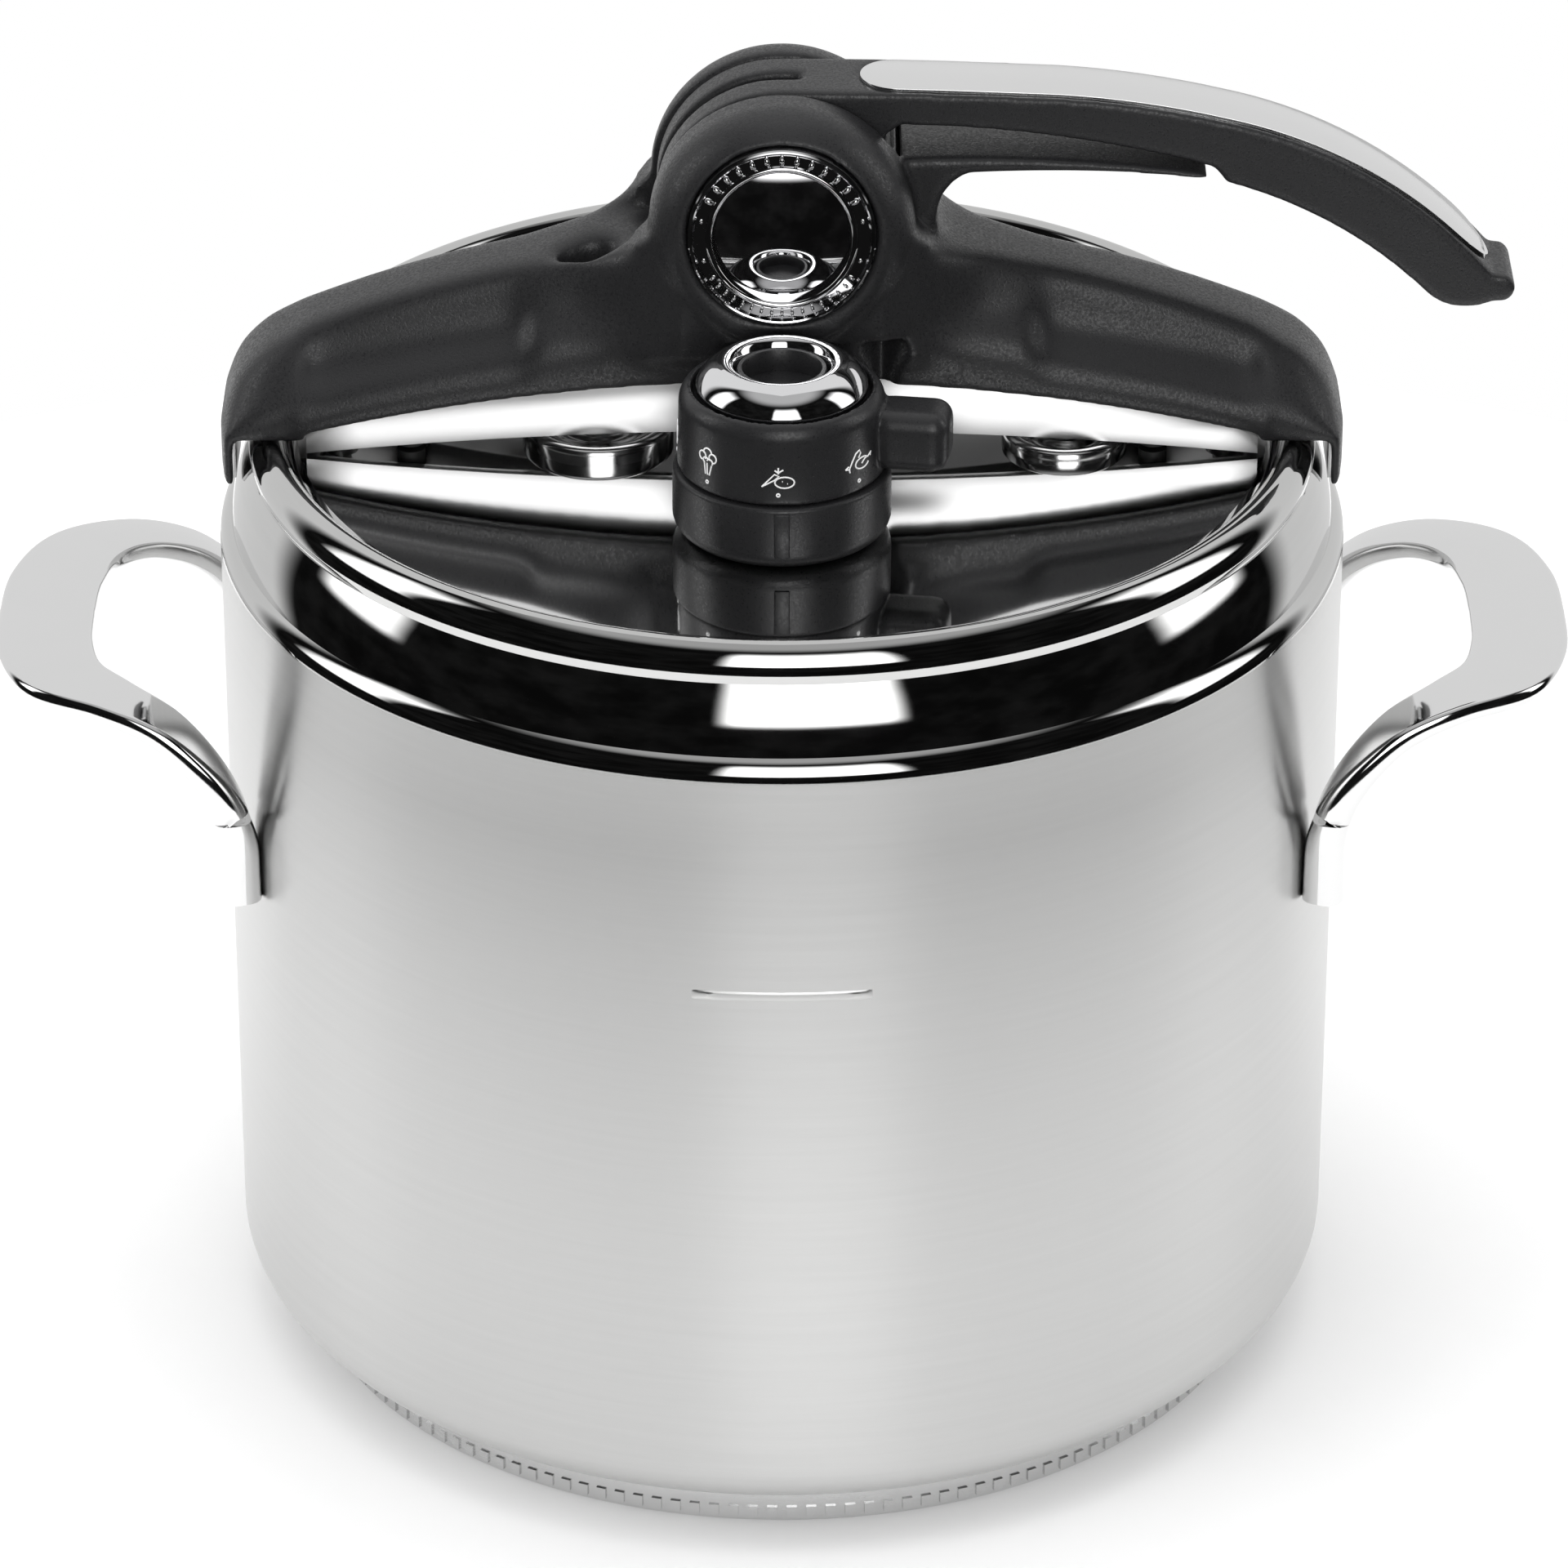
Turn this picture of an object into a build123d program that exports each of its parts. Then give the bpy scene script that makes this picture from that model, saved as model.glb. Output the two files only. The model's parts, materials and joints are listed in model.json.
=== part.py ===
from build123d import *
import os
from math import cos, radians, sin

# Stovetop pressure cooker: a tall drawn pot, an inner lid that seals up against the pot's
# turned-in rim, and a bridge whose lever pulls the lid up. Millimetres, Z up, Z = 0 on the
# hob, the pot's axis on Z. The bridge lies along X, the lever points to +X when shut, and
# the pressure selector stands on the lid on the -Y side.

os.makedirs("parts", exist_ok=True)

# ---- Driving dimensions ----
GAP = 0.4                    # clearance between pieces that move apart
RUN = 0.05                   # radial clearance of a running fit

BODY_R = 112.5               # outside of the pot wall
WALL = 1.2
BASE_R = 99.5                # impact-bonded base
BASE_H = 6.0
CORNER_R = 24.0              # the pot's lower corner is a quarter ellipse
CORNER_H = 15.0
SHOULDER_Z = 174.5           # where the polished rim begins
RIM_FOOT = (110.2, 179.6)
RIM_NECK = (105.9, 193.0)
CREST = (102.9, 200.5)
LIP = (99.8, 199.2)
MOUTH_R = 98.5
MOUTH_Z = 195.0
BADGE_Z = 129.0              # plain raised bar on the front of the pot

LID_TOP = 196.7
LID_T = 1.5
LID_EDGE_R = 102.3
LID_STEP_R = 97.6
LID_EDGE_Z = 189.0
LID_UNDER = LID_TOP - LID_T

PIVOT_Z = 247.0              # lever axis, parallel to Y
DRUM_R = 24.7
LEVER_HALF = 9.0             # half of the lever's width
CAM_OFFSET = (-1.40, 2.0)    # eccentric centre from the pivot, lever shut
CAM_R = 8.5
HEX_R = 5.8                  # corner radius of the cam's hexagonal shank
PIN_R = 4.0
CHEEK_IN = LEVER_HALF + GAP  # inner face of each cheek
CHEEK_R = 26.0
CHEEK_Z = 246.0
FRONT_Y = -26.0
REAR_Y = 24.0
FACE_TILT = 2.0              # the front cheek and its medallion lean back, degrees

BEAM_HALF = 16.0             # half width of the steel channel
BEAM_T = 2.0
WEB_T = 2.5
BEAM_CROWN = 218.5           # top of the channel at the middle
BEAM_END_X = 94.0
BEAM_ARC = 330.0             # radius of the channel's top
TONGUE_Z = 200.9             # the channel's end tongues ride over the rim at this height
HOOK_X = 109.6

ARM_TOP = 240.0              # top of the cover's arms at the middle
ARM_TOP_R = 245.0
ARM_EDGE = 214.5             # lower edge of the cover at the middle
ARM_EDGE_R = 390.0
# Half section of the arms at the middle: half width and height, from the top down.
ARM_SECTION = [(9.0, ARM_TOP), (11.0, 229.8), (13.2, 226.4), (17.2, 223.6), (19.2, 221.4),
               (20.0, 218.0)]
ARM_X = 96.0
COVER_END_X = 111.6

VALVE = (0.0, -46.3)
STOP = (-36.5, -6.0)         # pressure indicator and interlock
RELIEF = (56.0, -8.0)        # safety valve
BUFFERS = [(x, y) for x in (-73.5, 73.5) for y in (-10.5, 10.5)]
SCREW_X = (-88.0, -52.0, 52.0, 88.0)


def save(builder, name):
    """Label a finished piece and write its file."""
    builder.part.label = name
    export_step(builder.part, f"parts/{name}.step")


def drop(x, radius):
    """How far an arc of this radius, level at x = 0, has fallen at x."""
    return radius - (radius * radius - x * x) ** 0.5


# ---- Pot body: one drawn sheet, base corner, straight wall, rolled rim and inner lip ----
with BuildPart() as pot_body:
    with BuildSketch(Plane.XZ):
        with BuildLine():
            corner = (BODY_R - CORNER_R, BASE_H + CORNER_H)
            inner_r = BODY_R - WALL
            Line((0, BASE_H), (corner[0], BASE_H))
            EllipticalCenterArc(corner, CORNER_R, CORNER_H, 270, arc_size=90)
            Line((BODY_R, corner[1]), (BODY_R, SHOULDER_Z))
            ThreePointArc((BODY_R, SHOULDER_Z), (112.2, 177.6), RIM_FOOT)
            ThreePointArc(RIM_FOOT, (108.7, 186.6), RIM_NECK)
            ThreePointArc(RIM_NECK, (105.2, 198.4), CREST)
            ThreePointArc(CREST, (101.2, 200.4), LIP)
            ThreePointArc(LIP, (98.8, 197.3), (MOUTH_R, MOUTH_Z))
            Line((MOUTH_R, MOUTH_Z), (MOUTH_R + WALL, MOUTH_Z))
            ThreePointArc((MOUTH_R + WALL, MOUTH_Z), (100.0, 196.9), (100.8, 198.5))
            ThreePointArc((100.8, 198.5), (101.7, 199.2), (102.7, 199.3))
            ThreePointArc((102.7, 199.3), (104.1, 197.5), (104.7, 193.2))
            ThreePointArc((104.7, 193.2), (107.4, 186.4), (109.0, 179.3))
            ThreePointArc((109.0, 179.3), (110.9, 177.1), (inner_r, SHOULDER_Z))
            Line((inner_r, SHOULDER_Z), (inner_r, corner[1]))
            EllipticalCenterArc(corner, CORNER_R - WALL, CORNER_H - WALL, 270, arc_size=90)
            Line((corner[0], BASE_H + WALL), (0, BASE_H + WALL))
            Line((0, BASE_H + WALL), (0, BASE_H))
        make_face()
    revolve(axis=Axis.Z)
    badge_plane = Plane(origin=(0, WALL / 2 - BODY_R, BADGE_Z), x_dir=(1, 0, 0), z_dir=(0, -1, 0))
    with BuildSketch(badge_plane):
        SlotOverall(36, 2.4)
    extrude(amount=WALL / 2 + 0.3)
save(pot_body, "pot_body")


# ---- Base: an aluminium disc sealed under the pot by a steel cup with a toothed edge ----
CAP_T = 0.8
TEETH = 160

with BuildPart() as base_core:
    with BuildSketch(Plane.XY.offset(CAP_T)):
        Circle(BASE_R - 1.3)
    extrude(amount=BASE_H - CAP_T)
save(base_core, "base_core")

with BuildPart() as base_cap:
    with BuildSketch(Plane.XZ):
        with BuildLine():
            Polyline((0, 0), (BASE_R - CAP_T, 0), (BASE_R, CAP_T), (BASE_R, 7.2),
                     (BASE_R - CAP_T, 7.2), (BASE_R - CAP_T, 1.2), (BASE_R - 1.2, CAP_T),
                     (0, CAP_T), close=True)
        make_face()
    revolve(axis=Axis.Z)
    with BuildSketch(Plane.XY.offset(1.4)):
        Circle(BASE_R + 0.4)
        with PolarLocations(BASE_R + 0.4, TEETH):
            Rectangle(0.8, 1.9, mode=Mode.SUBTRACT)
        Circle(BASE_R - 0.4, mode=Mode.SUBTRACT)
    extrude(amount=2.4)
save(base_cap, "base_cap")

# ---- Pot handles: a flat strap looping out of the wall, its two feet welded upright ----
# One half of the strap from the outermost point to the foot: middle of the section,
# width, thickness, and the bearing of its width in plan.
STRAP = [
    (148.4, 0.0, 153.0, 19.6, 4.0, 0.0),
    (147.6, 15.0, 153.0, 19.6, 4.0, 13.0),
    (142.8, 28.4, 153.0, 18.0, 4.0, 38.0),
    (132.5, 35.8, 152.4, 13.0, 4.2, 68.0),
    (122.5, 39.8, 148.6, 11.2, 4.6, 72.0),
    (115.5, 42.2, 142.0, 10.2, 5.6, 80.0),
    (110.9, 43.2, 134.5, 9.4, 7.2, 96.0),
    (108.5, 42.95, 126.0, 9.0, 8.2, 111.6),
    (108.5, 42.95, 114.5, 9.0, 8.2, 111.6),
    (107.5, 42.6, 112.0, 6.0, 6.2, 111.6),
]
strap_far = [(x, -y, z, w, t, -a) for x, y, z, w, t, a in reversed(STRAP[1:])]
strap = strap_far + STRAP

with BuildPart() as handle_right:
    for i, (x, y, z, width, thick, bearing) in enumerate(strap):
        before = Vector(*strap[max(i - 1, 0)][:3])
        after = Vector(*strap[min(i + 1, len(strap) - 1)][:3])
        across = Vector(cos(radians(bearing)), sin(radians(bearing)), 0)
        along = after - before
        if i in (0, 1, 2, len(strap) - 3, len(strap) - 2, len(strap) - 1):
            along = Vector(0, 0, along.Z)
        with BuildSketch(Plane(origin=(x, y, z), x_dir=across, z_dir=along)):
            Rectangle(width, thick)
    loft(ruled=True)
save(handle_right, "handle_right")

with BuildPart() as handle_left:
    add(handle_right.part.mirror(Plane.YZ))
save(handle_left, "handle_left")

# ---- Lid: a flat polished disc with a stepped-down edge that carries the gasket ----
with BuildPart() as lid_disc:
    with BuildSketch(Plane.XZ):
        with BuildLine():
            wall_in = LID_STEP_R - LID_T
            Polyline((0, LID_UNDER), (wall_in, LID_UNDER), (wall_in, LID_EDGE_Z - LID_T),
                     (LID_EDGE_R, LID_EDGE_Z - LID_T), (LID_EDGE_R, LID_EDGE_Z),
                     (LID_STEP_R, LID_EDGE_Z), (LID_STEP_R, LID_TOP - 1),
                     (LID_STEP_R - 1, LID_TOP), (0, LID_TOP), close=True)
        make_face()
    revolve(axis=Axis.Z)
    for place, radius in (((0, 0), 5.2), (VALVE, 5.2), (STOP, 3.1), (RELIEF, 6.1)):
        with BuildSketch(Plane.XY.offset(LID_UNDER)):
            with Locations(place):
                Circle(radius)
        extrude(amount=LID_T, mode=Mode.SUBTRACT)
save(lid_disc, "lid_disc")

with BuildPart() as lid_gasket:
    with BuildSketch(Plane.XZ):
        with BuildLine():
            Polyline((98.0, 194.6), (103.6, 194.6), (103.6, 186.3), (98.5, 186.3),
                     (98.5, LID_EDGE_Z - LID_T), (LID_EDGE_R, LID_EDGE_Z - LID_T),
                     (LID_EDGE_R, LID_EDGE_Z), (98.0, LID_EDGE_Z), close=True)
        make_face()
    revolve(axis=Axis.Z)
save(lid_gasket, "lid_gasket")


def turned(place, points):
    """A half profile of (radius, height) points revolved about a vertical axis at place."""
    x, y = place
    with BuildPart() as blank:
        with BuildSketch(Plane.XZ.offset(-y)):
            with BuildLine():
                Polyline(*[(x + r, z) for r, z in points], close=True)
            make_face()
        revolve(axis=Axis((x, y, 0), (0, 0, 1)))
    return blank.part


def hex_nut(place, across, hole, bottom, top):
    """A hexagon nut with a plain bore."""
    with BuildPart() as blank:
        with BuildSketch(Plane.XY.offset(bottom)):
            with Locations(place):
                RegularPolygon(across / 2, 6, major_radius=False)
                Circle(hole, mode=Mode.SUBTRACT)
        extrude(amount=top - bottom)
    return blank.part


# ---- Lid centre: a stud through the lid, drawn up by a plate that the lever's cam lifts ----
STUD_R = 7.0
STUD_TOP = 214.0
STUD_PIN_Z = 208.5
PLATE_T = 1.8
YOKE_X, YOKE_Z = CAM_OFFSET[0] - 0.52, PIVOT_Z + CAM_OFFSET[1]

with BuildPart() as centre_stud:
    add(turned((0, 0), [(0, 188.6), (5, 188.6), (5, LID_TOP), (12, LID_TOP), (12, 198.7),
                        (STUD_R, 199.7), (STUD_R, STUD_TOP - 1), (STUD_R - 1, STUD_TOP),
                        (0, STUD_TOP)]))
    with BuildSketch(Plane.XY.offset(203)):
        Rectangle(2 * STUD_R + 1, PLATE_T + 2 * RUN)
    extrude(amount=STUD_TOP - 202, mode=Mode.SUBTRACT)
    with BuildSketch(Plane.XZ.offset(-STUD_R)):
        with Locations((0, STUD_PIN_Z)):
            Circle(1.5)
    extrude(amount=2 * STUD_R, mode=Mode.SUBTRACT)
save(centre_stud, "centre_stud")

with BuildPart() as stud_washer:
    add(turned((0, 0), [(5.2, 194.2), (10, 194.2), (10, LID_UNDER), (5.2, LID_UNDER)]))
save(stud_washer, "stud_washer")

with BuildPart() as stud_nut:
    add(hex_nut((0, 0), 16, 5, 189.4, 194.2))
save(stud_nut, "stud_nut")

with BuildPart() as lift_plate:
    with BuildSketch(Plane.XZ.offset(-PLATE_T / 2)):
        with Locations((YOKE_X, YOKE_Z)):
            RectangleRounded(26.2, 25.0, 6)
        with Locations((0, (204 + YOKE_Z) / 2)):
            Rectangle(12, YOKE_Z - 204)
        with Locations((YOKE_X, YOKE_Z)):
            RectangleRounded(19.2, 18.0, 4, mode=Mode.SUBTRACT)
        with Locations((0, STUD_PIN_Z)):
            Circle(1.5, mode=Mode.SUBTRACT)
    extrude(amount=PLATE_T)
save(lift_plate, "lift_plate")

with BuildPart() as stud_pin:
    with BuildSketch(Plane.XZ.offset(-STUD_R + 0.3)):
        with Locations((0, STUD_PIN_Z)):
            Circle(1.5)
    extrude(amount=2 * STUD_R - 0.6)
save(stud_pin, "stud_pin")

# ---- Pressure indicator: a sealed pin that rises through the beam and blocks the lever ----
with BuildPart() as interlock_cup:
    add(turned(STOP, [(3.1, LID_TOP), (15, LID_TOP), (15, 199.6), (14.2, 200.4), (12.6, 200.4),
                      (9.0, 198.6), (6.0, 199.4), (5.0, 200.4), (3.1, 200.4)]))
save(interlock_cup, "interlock_cup")

with BuildPart() as indicator_pin:
    add(turned(STOP, [(0, 187.2), (5.5, 187.2), (5.5, 189.0), (3.0, 189.0), (3.0, 200.6),
                      (4.0, 200.6), (4.0, 201.8), (3.0, 202.4), (3.0, 228.0), (2.2, 229.2),
                      (0, 229.2)]))
save(indicator_pin, "indicator_pin")

with BuildPart() as indicator_seal:
    add(turned(STOP, [(3.0, 189.0), (5.2, 189.0), (5.2, 190.2), (3.0, 190.2)]))
save(indicator_seal, "indicator_seal")

# ---- Safety valve: a sprung plunger in a screwed body under the right arm ----
with BuildPart() as relief_body:
    add(turned(RELIEF, [(2.5, 188.4), (6, 188.4), (6, LID_TOP), (12.5, LID_TOP), (12.5, 198.8),
                        (11.8, 199.6), (10.4, 199.6), (7.4, 198.2), (5.4, 199.0), (5.4, 206.6),
                        (1.9, 206.6), (1.9, 205.4), (4.6, 205.4), (4.6, 198.0), (2.5, 198.0)]))
save(relief_body, "relief_body")

with BuildPart() as relief_plunger:
    add(turned(RELIEF, [(0, 198.1), (4.4, 198.1), (4.4, 199.6), (1.7, 199.6), (1.7, 208.2),
                        (1.2, 208.8), (0, 208.8)]))
save(relief_plunger, "relief_plunger")

with BuildPart() as relief_spring:
    add(turned(RELIEF, [(2.0, 199.7), (4.2, 199.7), (4.2, 205.3), (2.0, 205.3)]))
save(relief_spring, "relief_spring")

with BuildPart() as relief_nut:
    add(hex_nut(RELIEF, 16, 6, 190.6, LID_UNDER))
save(relief_nut, "relief_nut")

# ---- Pressure selector: fixed collar, turning dial, and a chrome-topped weight ----
COLLAR_R = 21.3
DIAL_R = 20.0
NECK_R = 12.0
DIAL_Z = 210.8
DIAL_TOP = 227.3
TAB_BEARING = -8.0           # the dial's thumb tab in plan, from +X
TAB_TIP = 33.0
TAB_W = 12.5

with BuildPart() as valve_base:
    add(turned(VALVE, [(5.05, 197.3), (14, 197.3), (14, 197.0), (18.0, 197.0), (20.4, 198.2),
                       (COLLAR_R, 200.4), (COLLAR_R, 209.9), (COLLAR_R - 0.5, 210.4),
                       (NECK_R, 210.4), (NECK_R, 221.4), (6.5, 221.4), (6.5, 212.2),
                       (5.05, 212.2)]))
    with BuildSketch(Plane.XY.offset(200.4)):
        with Locations((VALVE[0], VALVE[1] - COLLAR_R)):
            Rectangle(3.0, 1.6)
    extrude(amount=9.0)
save(valve_base, "valve_base")

with BuildPart() as valve_seal:
    add(turned(VALVE, [(5.2, LID_TOP), (13.6, LID_TOP), (13.6, 197.3), (5.2, 197.3)]))
save(valve_seal, "valve_seal")

with BuildPart() as valve_stem:
    add(turned(VALVE, [(1.4, 187.8), (5, 187.8), (5, 212.2), (6.2, 212.2), (6.2, 213.0),
                       (1.4, 213.0)]))
save(valve_stem, "valve_stem")

with BuildPart() as valve_nut:
    add(hex_nut(VALVE, 17, 5, 190.2, LID_UNDER))
save(valve_nut, "valve_nut")

with BuildPart() as valve_dial:
    add(turned(VALVE, [(NECK_R + 2 * RUN, DIAL_Z), (DIAL_R + 0.3, DIAL_Z), (DIAL_R, 224.6),
                       (DIAL_R - 0.8, 226.5), (DIAL_R - 1.9, DIAL_TOP), (17.4, DIAL_TOP),
                       (17.4, 224.4), (2.9, 224.4), (2.9, 221.9), (NECK_R + 2 * RUN, 221.9)]))
    with BuildSketch(Plane.XY.offset(212.0)):
        with Locations(Location((VALVE[0], VALVE[1], 0), (0, 0, TAB_BEARING))):
            with Locations(((DIAL_R - 1.5 + TAB_TIP) / 2, 0)):
                RectangleRounded(TAB_TIP - DIAL_R + 1.5, TAB_W, 1.4)
    extrude(amount=12.4)
save(valve_dial, "valve_dial")

with BuildPart() as valve_needle:
    add(turned(VALVE, [(0, 213.4), (1.6, 213.4), (4.6, 214.6), (4.6, 216.0), (2.6, 216.0),
                       (2.6, 224.8), (8.8, 224.8), (8.8, 226.2), (0, 226.2)]))
save(valve_needle, "valve_needle")

with BuildPart() as valve_cap:
    add(turned(VALVE, [(8.8, 224.8), (15.6, 224.8), (16.8, 226.6), (16.8, 228.6), (15.4, 230.6),
                       (12.4, 232.2), (10.6, 232.4), (9.4, 231.4), (8.8, 229.8)]))
save(valve_cap, "valve_cap")

with BuildPart() as valve_spring:
    add(turned(VALVE, [(3.0, 216.1), (5.4, 216.1), (5.4, 221.7), (3.0, 221.7)]))
save(valve_spring, "valve_spring")

# ---- Beam: an arched steel channel, its end tongues resting over the rim ----
def beam_outline(inset):
    """Side outline of the channel, or of its hollow when inset is the wall thickness."""
    end = BEAM_END_X - inset
    crown = BEAM_CROWN - inset
    low = 190.0 if inset else 202.3
    end_low = 190.0 if inset else 197.3
    with BuildSketch() as outline:
        with BuildLine():
            ThreePointArc((-end, crown - drop(end, BEAM_ARC)), (0, crown),
                          (end, crown - drop(end, BEAM_ARC)))
            Line((end, crown - drop(end, BEAM_ARC)), (end, end_low))
            if inset:
                Line((end, low), (-end, low))
            else:
                ThreePointArc((end, end_low), (0, low), (-end, end_low))
            Line((-end, end_low), (-end, crown - drop(end, BEAM_ARC)))
        make_face()
    return outline.sketch


with BuildPart() as bridge_beam:
    with BuildSketch(Plane.XZ.offset(-BEAM_HALF)):
        add(beam_outline(0))
    extrude(amount=2 * BEAM_HALF)
    for side in (-1, 1):
        with BuildSketch(Plane.XZ.offset(-8)):
            with BuildLine():
                tip = side * HOOK_X
                heel = side * (BEAM_END_X - 6)
                Polyline((heel, TONGUE_Z), (side * 108.6, TONGUE_Z), (side * 108.6, 188.0),
                         (tip, 188.0), (tip, TONGUE_Z + 2.4), (heel, TONGUE_Z + 2.4),
                         close=True)
            make_face()
        extrude(amount=16)
    with BuildSketch(Plane.XZ.offset(BEAM_T - BEAM_HALF)):
        add(beam_outline(WEB_T))
    extrude(amount=2 * (BEAM_HALF - BEAM_T), mode=Mode.SUBTRACT)
    with BuildSketch(Plane.XY.offset(195)):
        Rectangle(14.5, 3)
        with Locations(STOP):
            Circle(4.6)
        with Locations(*BUFFERS):
            Circle(1.5)
        with Locations(*[(x, 0) for x in SCREW_X]):
            Circle(2.0)
    extrude(amount=30, mode=Mode.SUBTRACT)
save(bridge_beam, "bridge_beam")

with BuildPart() as beam_buffers:
    for x, y in BUFFERS:
        web = BEAM_CROWN - WEB_T - drop(abs(x) + 2.8, BEAM_ARC - WEB_T)
        with BuildSketch(Plane.XY.offset(197.3)):
            with Locations((x, y)):
                Circle(2.8)
        extrude(amount=web - 0.1 - 197.3)
        with BuildSketch(Plane.XY.offset(web - 0.1)):
            with Locations((x, y)):
                Circle(1.5)
        extrude(amount=4.4)
save(beam_buffers, "beam_buffers")

# ---- Pivot bracket: a U of steel on the beam that carries the lever's pin ----
with BuildPart() as pivot_bracket:
    with BuildSketch(Plane.XY.offset(BEAM_CROWN)):
        Rectangle(22, 25)
        Rectangle(14.5, 3, mode=Mode.SUBTRACT)
    extrude(amount=2.0)
    for y in (-10.5, 12.5):
        with BuildSketch(Plane.XZ.offset(-y)):
            with Locations((0, PIVOT_Z)):
                Circle(11)
            with Locations((0, (BEAM_CROWN + PIVOT_Z) / 2)):
                Rectangle(22, PIVOT_Z - BEAM_CROWN)
            with Locations((0, PIVOT_Z)):
                Circle(PIN_R + RUN, mode=Mode.SUBTRACT)
        extrude(amount=2.0)
save(pivot_bracket, "pivot_bracket")

with BuildPart() as pivot_pin:
    with BuildSketch(Plane.XZ.offset(-18.6)):
        with Locations((0, PIVOT_Z)):
            Circle(PIN_R)
    extrude(amount=18.6 + 17.5)
    with BuildSketch(Plane.XZ.offset(17.5)):
        with Locations((0, PIVOT_Z)):
            Circle(6.5)
    extrude(amount=2.5)
save(pivot_pin, "pivot_pin")

with BuildPart() as pin_clip:
    with BuildSketch(Plane.XZ.offset(-17.2)):
        with Locations((0, PIVOT_Z)):
            Circle(6.8)
            Circle(PIN_R, mode=Mode.SUBTRACT)
            with Locations((0, -6)):
                Rectangle(4.4, 8, mode=Mode.SUBTRACT)
    extrude(amount=1.2)
save(pin_clip, "pin_clip")

# ---- Lever: a plastic body round the drum, a steel inlay on top, and the eccentric cam ----
INLAY_HALF = 7.2
SLIT = 2.4                   # slot round the drum that the lift plate passes through

# Top line of the lever from the drum to the tip, as arcs through these points.
CROWN = [(0.0, PIVOT_Z + DRUM_R), (28.0, 271.2), (54.0, 270.2), (71.0, 268.3), (86.5, 265.2),
         (116.0, 253.2), (140.0, 232.2)]


def crown_arcs(points):
    """Chain of arcs, each through three of the points."""
    return [ThreePointArc(*points[i:i + 3]) for i in range(0, len(points) - 2, 2)]


def crown_band(proud, deep):
    """Solid band that follows the lever's top, from proud above it to deep below it."""
    shifts = [(0.0, 1.0), (0.0, 1.0), (0.05, 1.0), (0.1, 1.0), (0.2, 0.98), (0.5, 0.87),
              (0.75, 0.66)]
    over = [(x + dx * proud, z + dz * proud) for (x, z), (dx, dz) in zip(CROWN, shifts)]
    under = [(x - dx * deep, z - dz * deep) for (x, z), (dx, dz) in zip(CROWN, shifts)]
    with BuildPart() as band:
        with BuildSketch(Plane.XZ.offset(-LEVER_HALF)):
            with BuildLine():
                crown_arcs(over)
                crown_arcs(under)
                Line(over[0], under[0])
                Line(over[-1], under[-1])
            make_face()
        extrude(amount=2 * LEVER_HALF)
        with BuildSketch(Plane.XY.offset(PIVOT_Z - 40)):
            with Locations(((15.2 + 139.2) / 2, 0)):
                SlotOverall(139.2 - 15.2, 2 * INLAY_HALF)
        extrude(amount=80, mode=Mode.INTERSECT)
    return band.part


with BuildPart() as lever_body:
    with BuildSketch(Plane.XZ.offset(-LEVER_HALF)):
        with Locations((0, PIVOT_Z)):
            Circle(DRUM_R)
        with BuildLine():
            crown_arcs(CROWN)
            ThreePointArc((140.0, 232.2), (144.0, 228.6), (140.0, 227.0))
            ThreePointArc((140.0, 227.0), (133.5, 225.6), (127.0, 228.4))
            ThreePointArc((127.0, 228.4), (107.5, 243.6), (86.8, 252.4))
            Line((86.8, 252.4), (84.4, 255.6))
            ThreePointArc((84.4, 255.6), (56.0, 261.8), (23.0, 264.6))
            Line((23.0, 264.6), (0, PIVOT_Z))
            Line((0, PIVOT_Z), (0, PIVOT_Z + DRUM_R))
        make_face()
    extrude(amount=2 * LEVER_HALF)
    add(crown_band(2.0, 1.2), mode=Mode.SUBTRACT)
    with BuildSketch(Plane.XZ.offset(-5.2)):
        with Locations((0, PIVOT_Z)):
            Circle(21.2)
    extrude(amount=10.4, mode=Mode.SUBTRACT)
    with BuildSketch(Plane.XZ.offset(-SLIT / 2)):
        with BuildLine():
            outer = CenterArc((0, PIVOT_Z), DRUM_R + 1.5, 81, 209)
            inner = CenterArc((0, PIVOT_Z), 20, 81, 209)
            Line(outer @ 0, inner @ 0)
            Line(outer @ 1, inner @ 1)
        make_face()
    extrude(amount=SLIT, mode=Mode.SUBTRACT)
    with BuildSketch(Plane.XZ.offset(-LEVER_HALF)):
        with Locations((0, PIVOT_Z)):
            RegularPolygon(HEX_R, 6)
    extrude(amount=2 * LEVER_HALF, mode=Mode.SUBTRACT)
save(lever_body, "lever_body")

with BuildPart() as lever_inlay:
    add(crown_band(0.4, 1.2))
save(lever_inlay, "lever_inlay")

with BuildPart() as lever_cam:
    with BuildSketch(Plane.XZ.offset(-LEVER_HALF)):
        with Locations((0, PIVOT_Z)):
            RegularPolygon(HEX_R, 6)
    extrude(amount=2 * LEVER_HALF)
    with BuildSketch(Plane.XZ.offset(-1.3)):
        with Locations((CAM_OFFSET[0], PIVOT_Z + CAM_OFFSET[1])):
            Circle(CAM_R)
    extrude(amount=2.6)
    with BuildSketch(Plane.XZ.offset(-LEVER_HALF)):
        with Locations((0, PIVOT_Z)):
            Circle(PIN_R + RUN)
    extrude(amount=2 * LEVER_HALF, mode=Mode.SUBTRACT)
save(lever_cam, "lever_cam")

# ---- Medallion and rear cap: round covers over the two ends of the pivot pin ----
MEDALLION_R = 18.5
MEDALLION_Z = 248.8
MEDALLION_T = 3.0
tilt = radians(FACE_TILT)
face_out = Vector(0, -cos(tilt), sin(tilt))
face_plane = Plane(origin=(0, FRONT_Y, MEDALLION_Z), x_dir=(1, 0, 0), z_dir=face_out)

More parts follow.
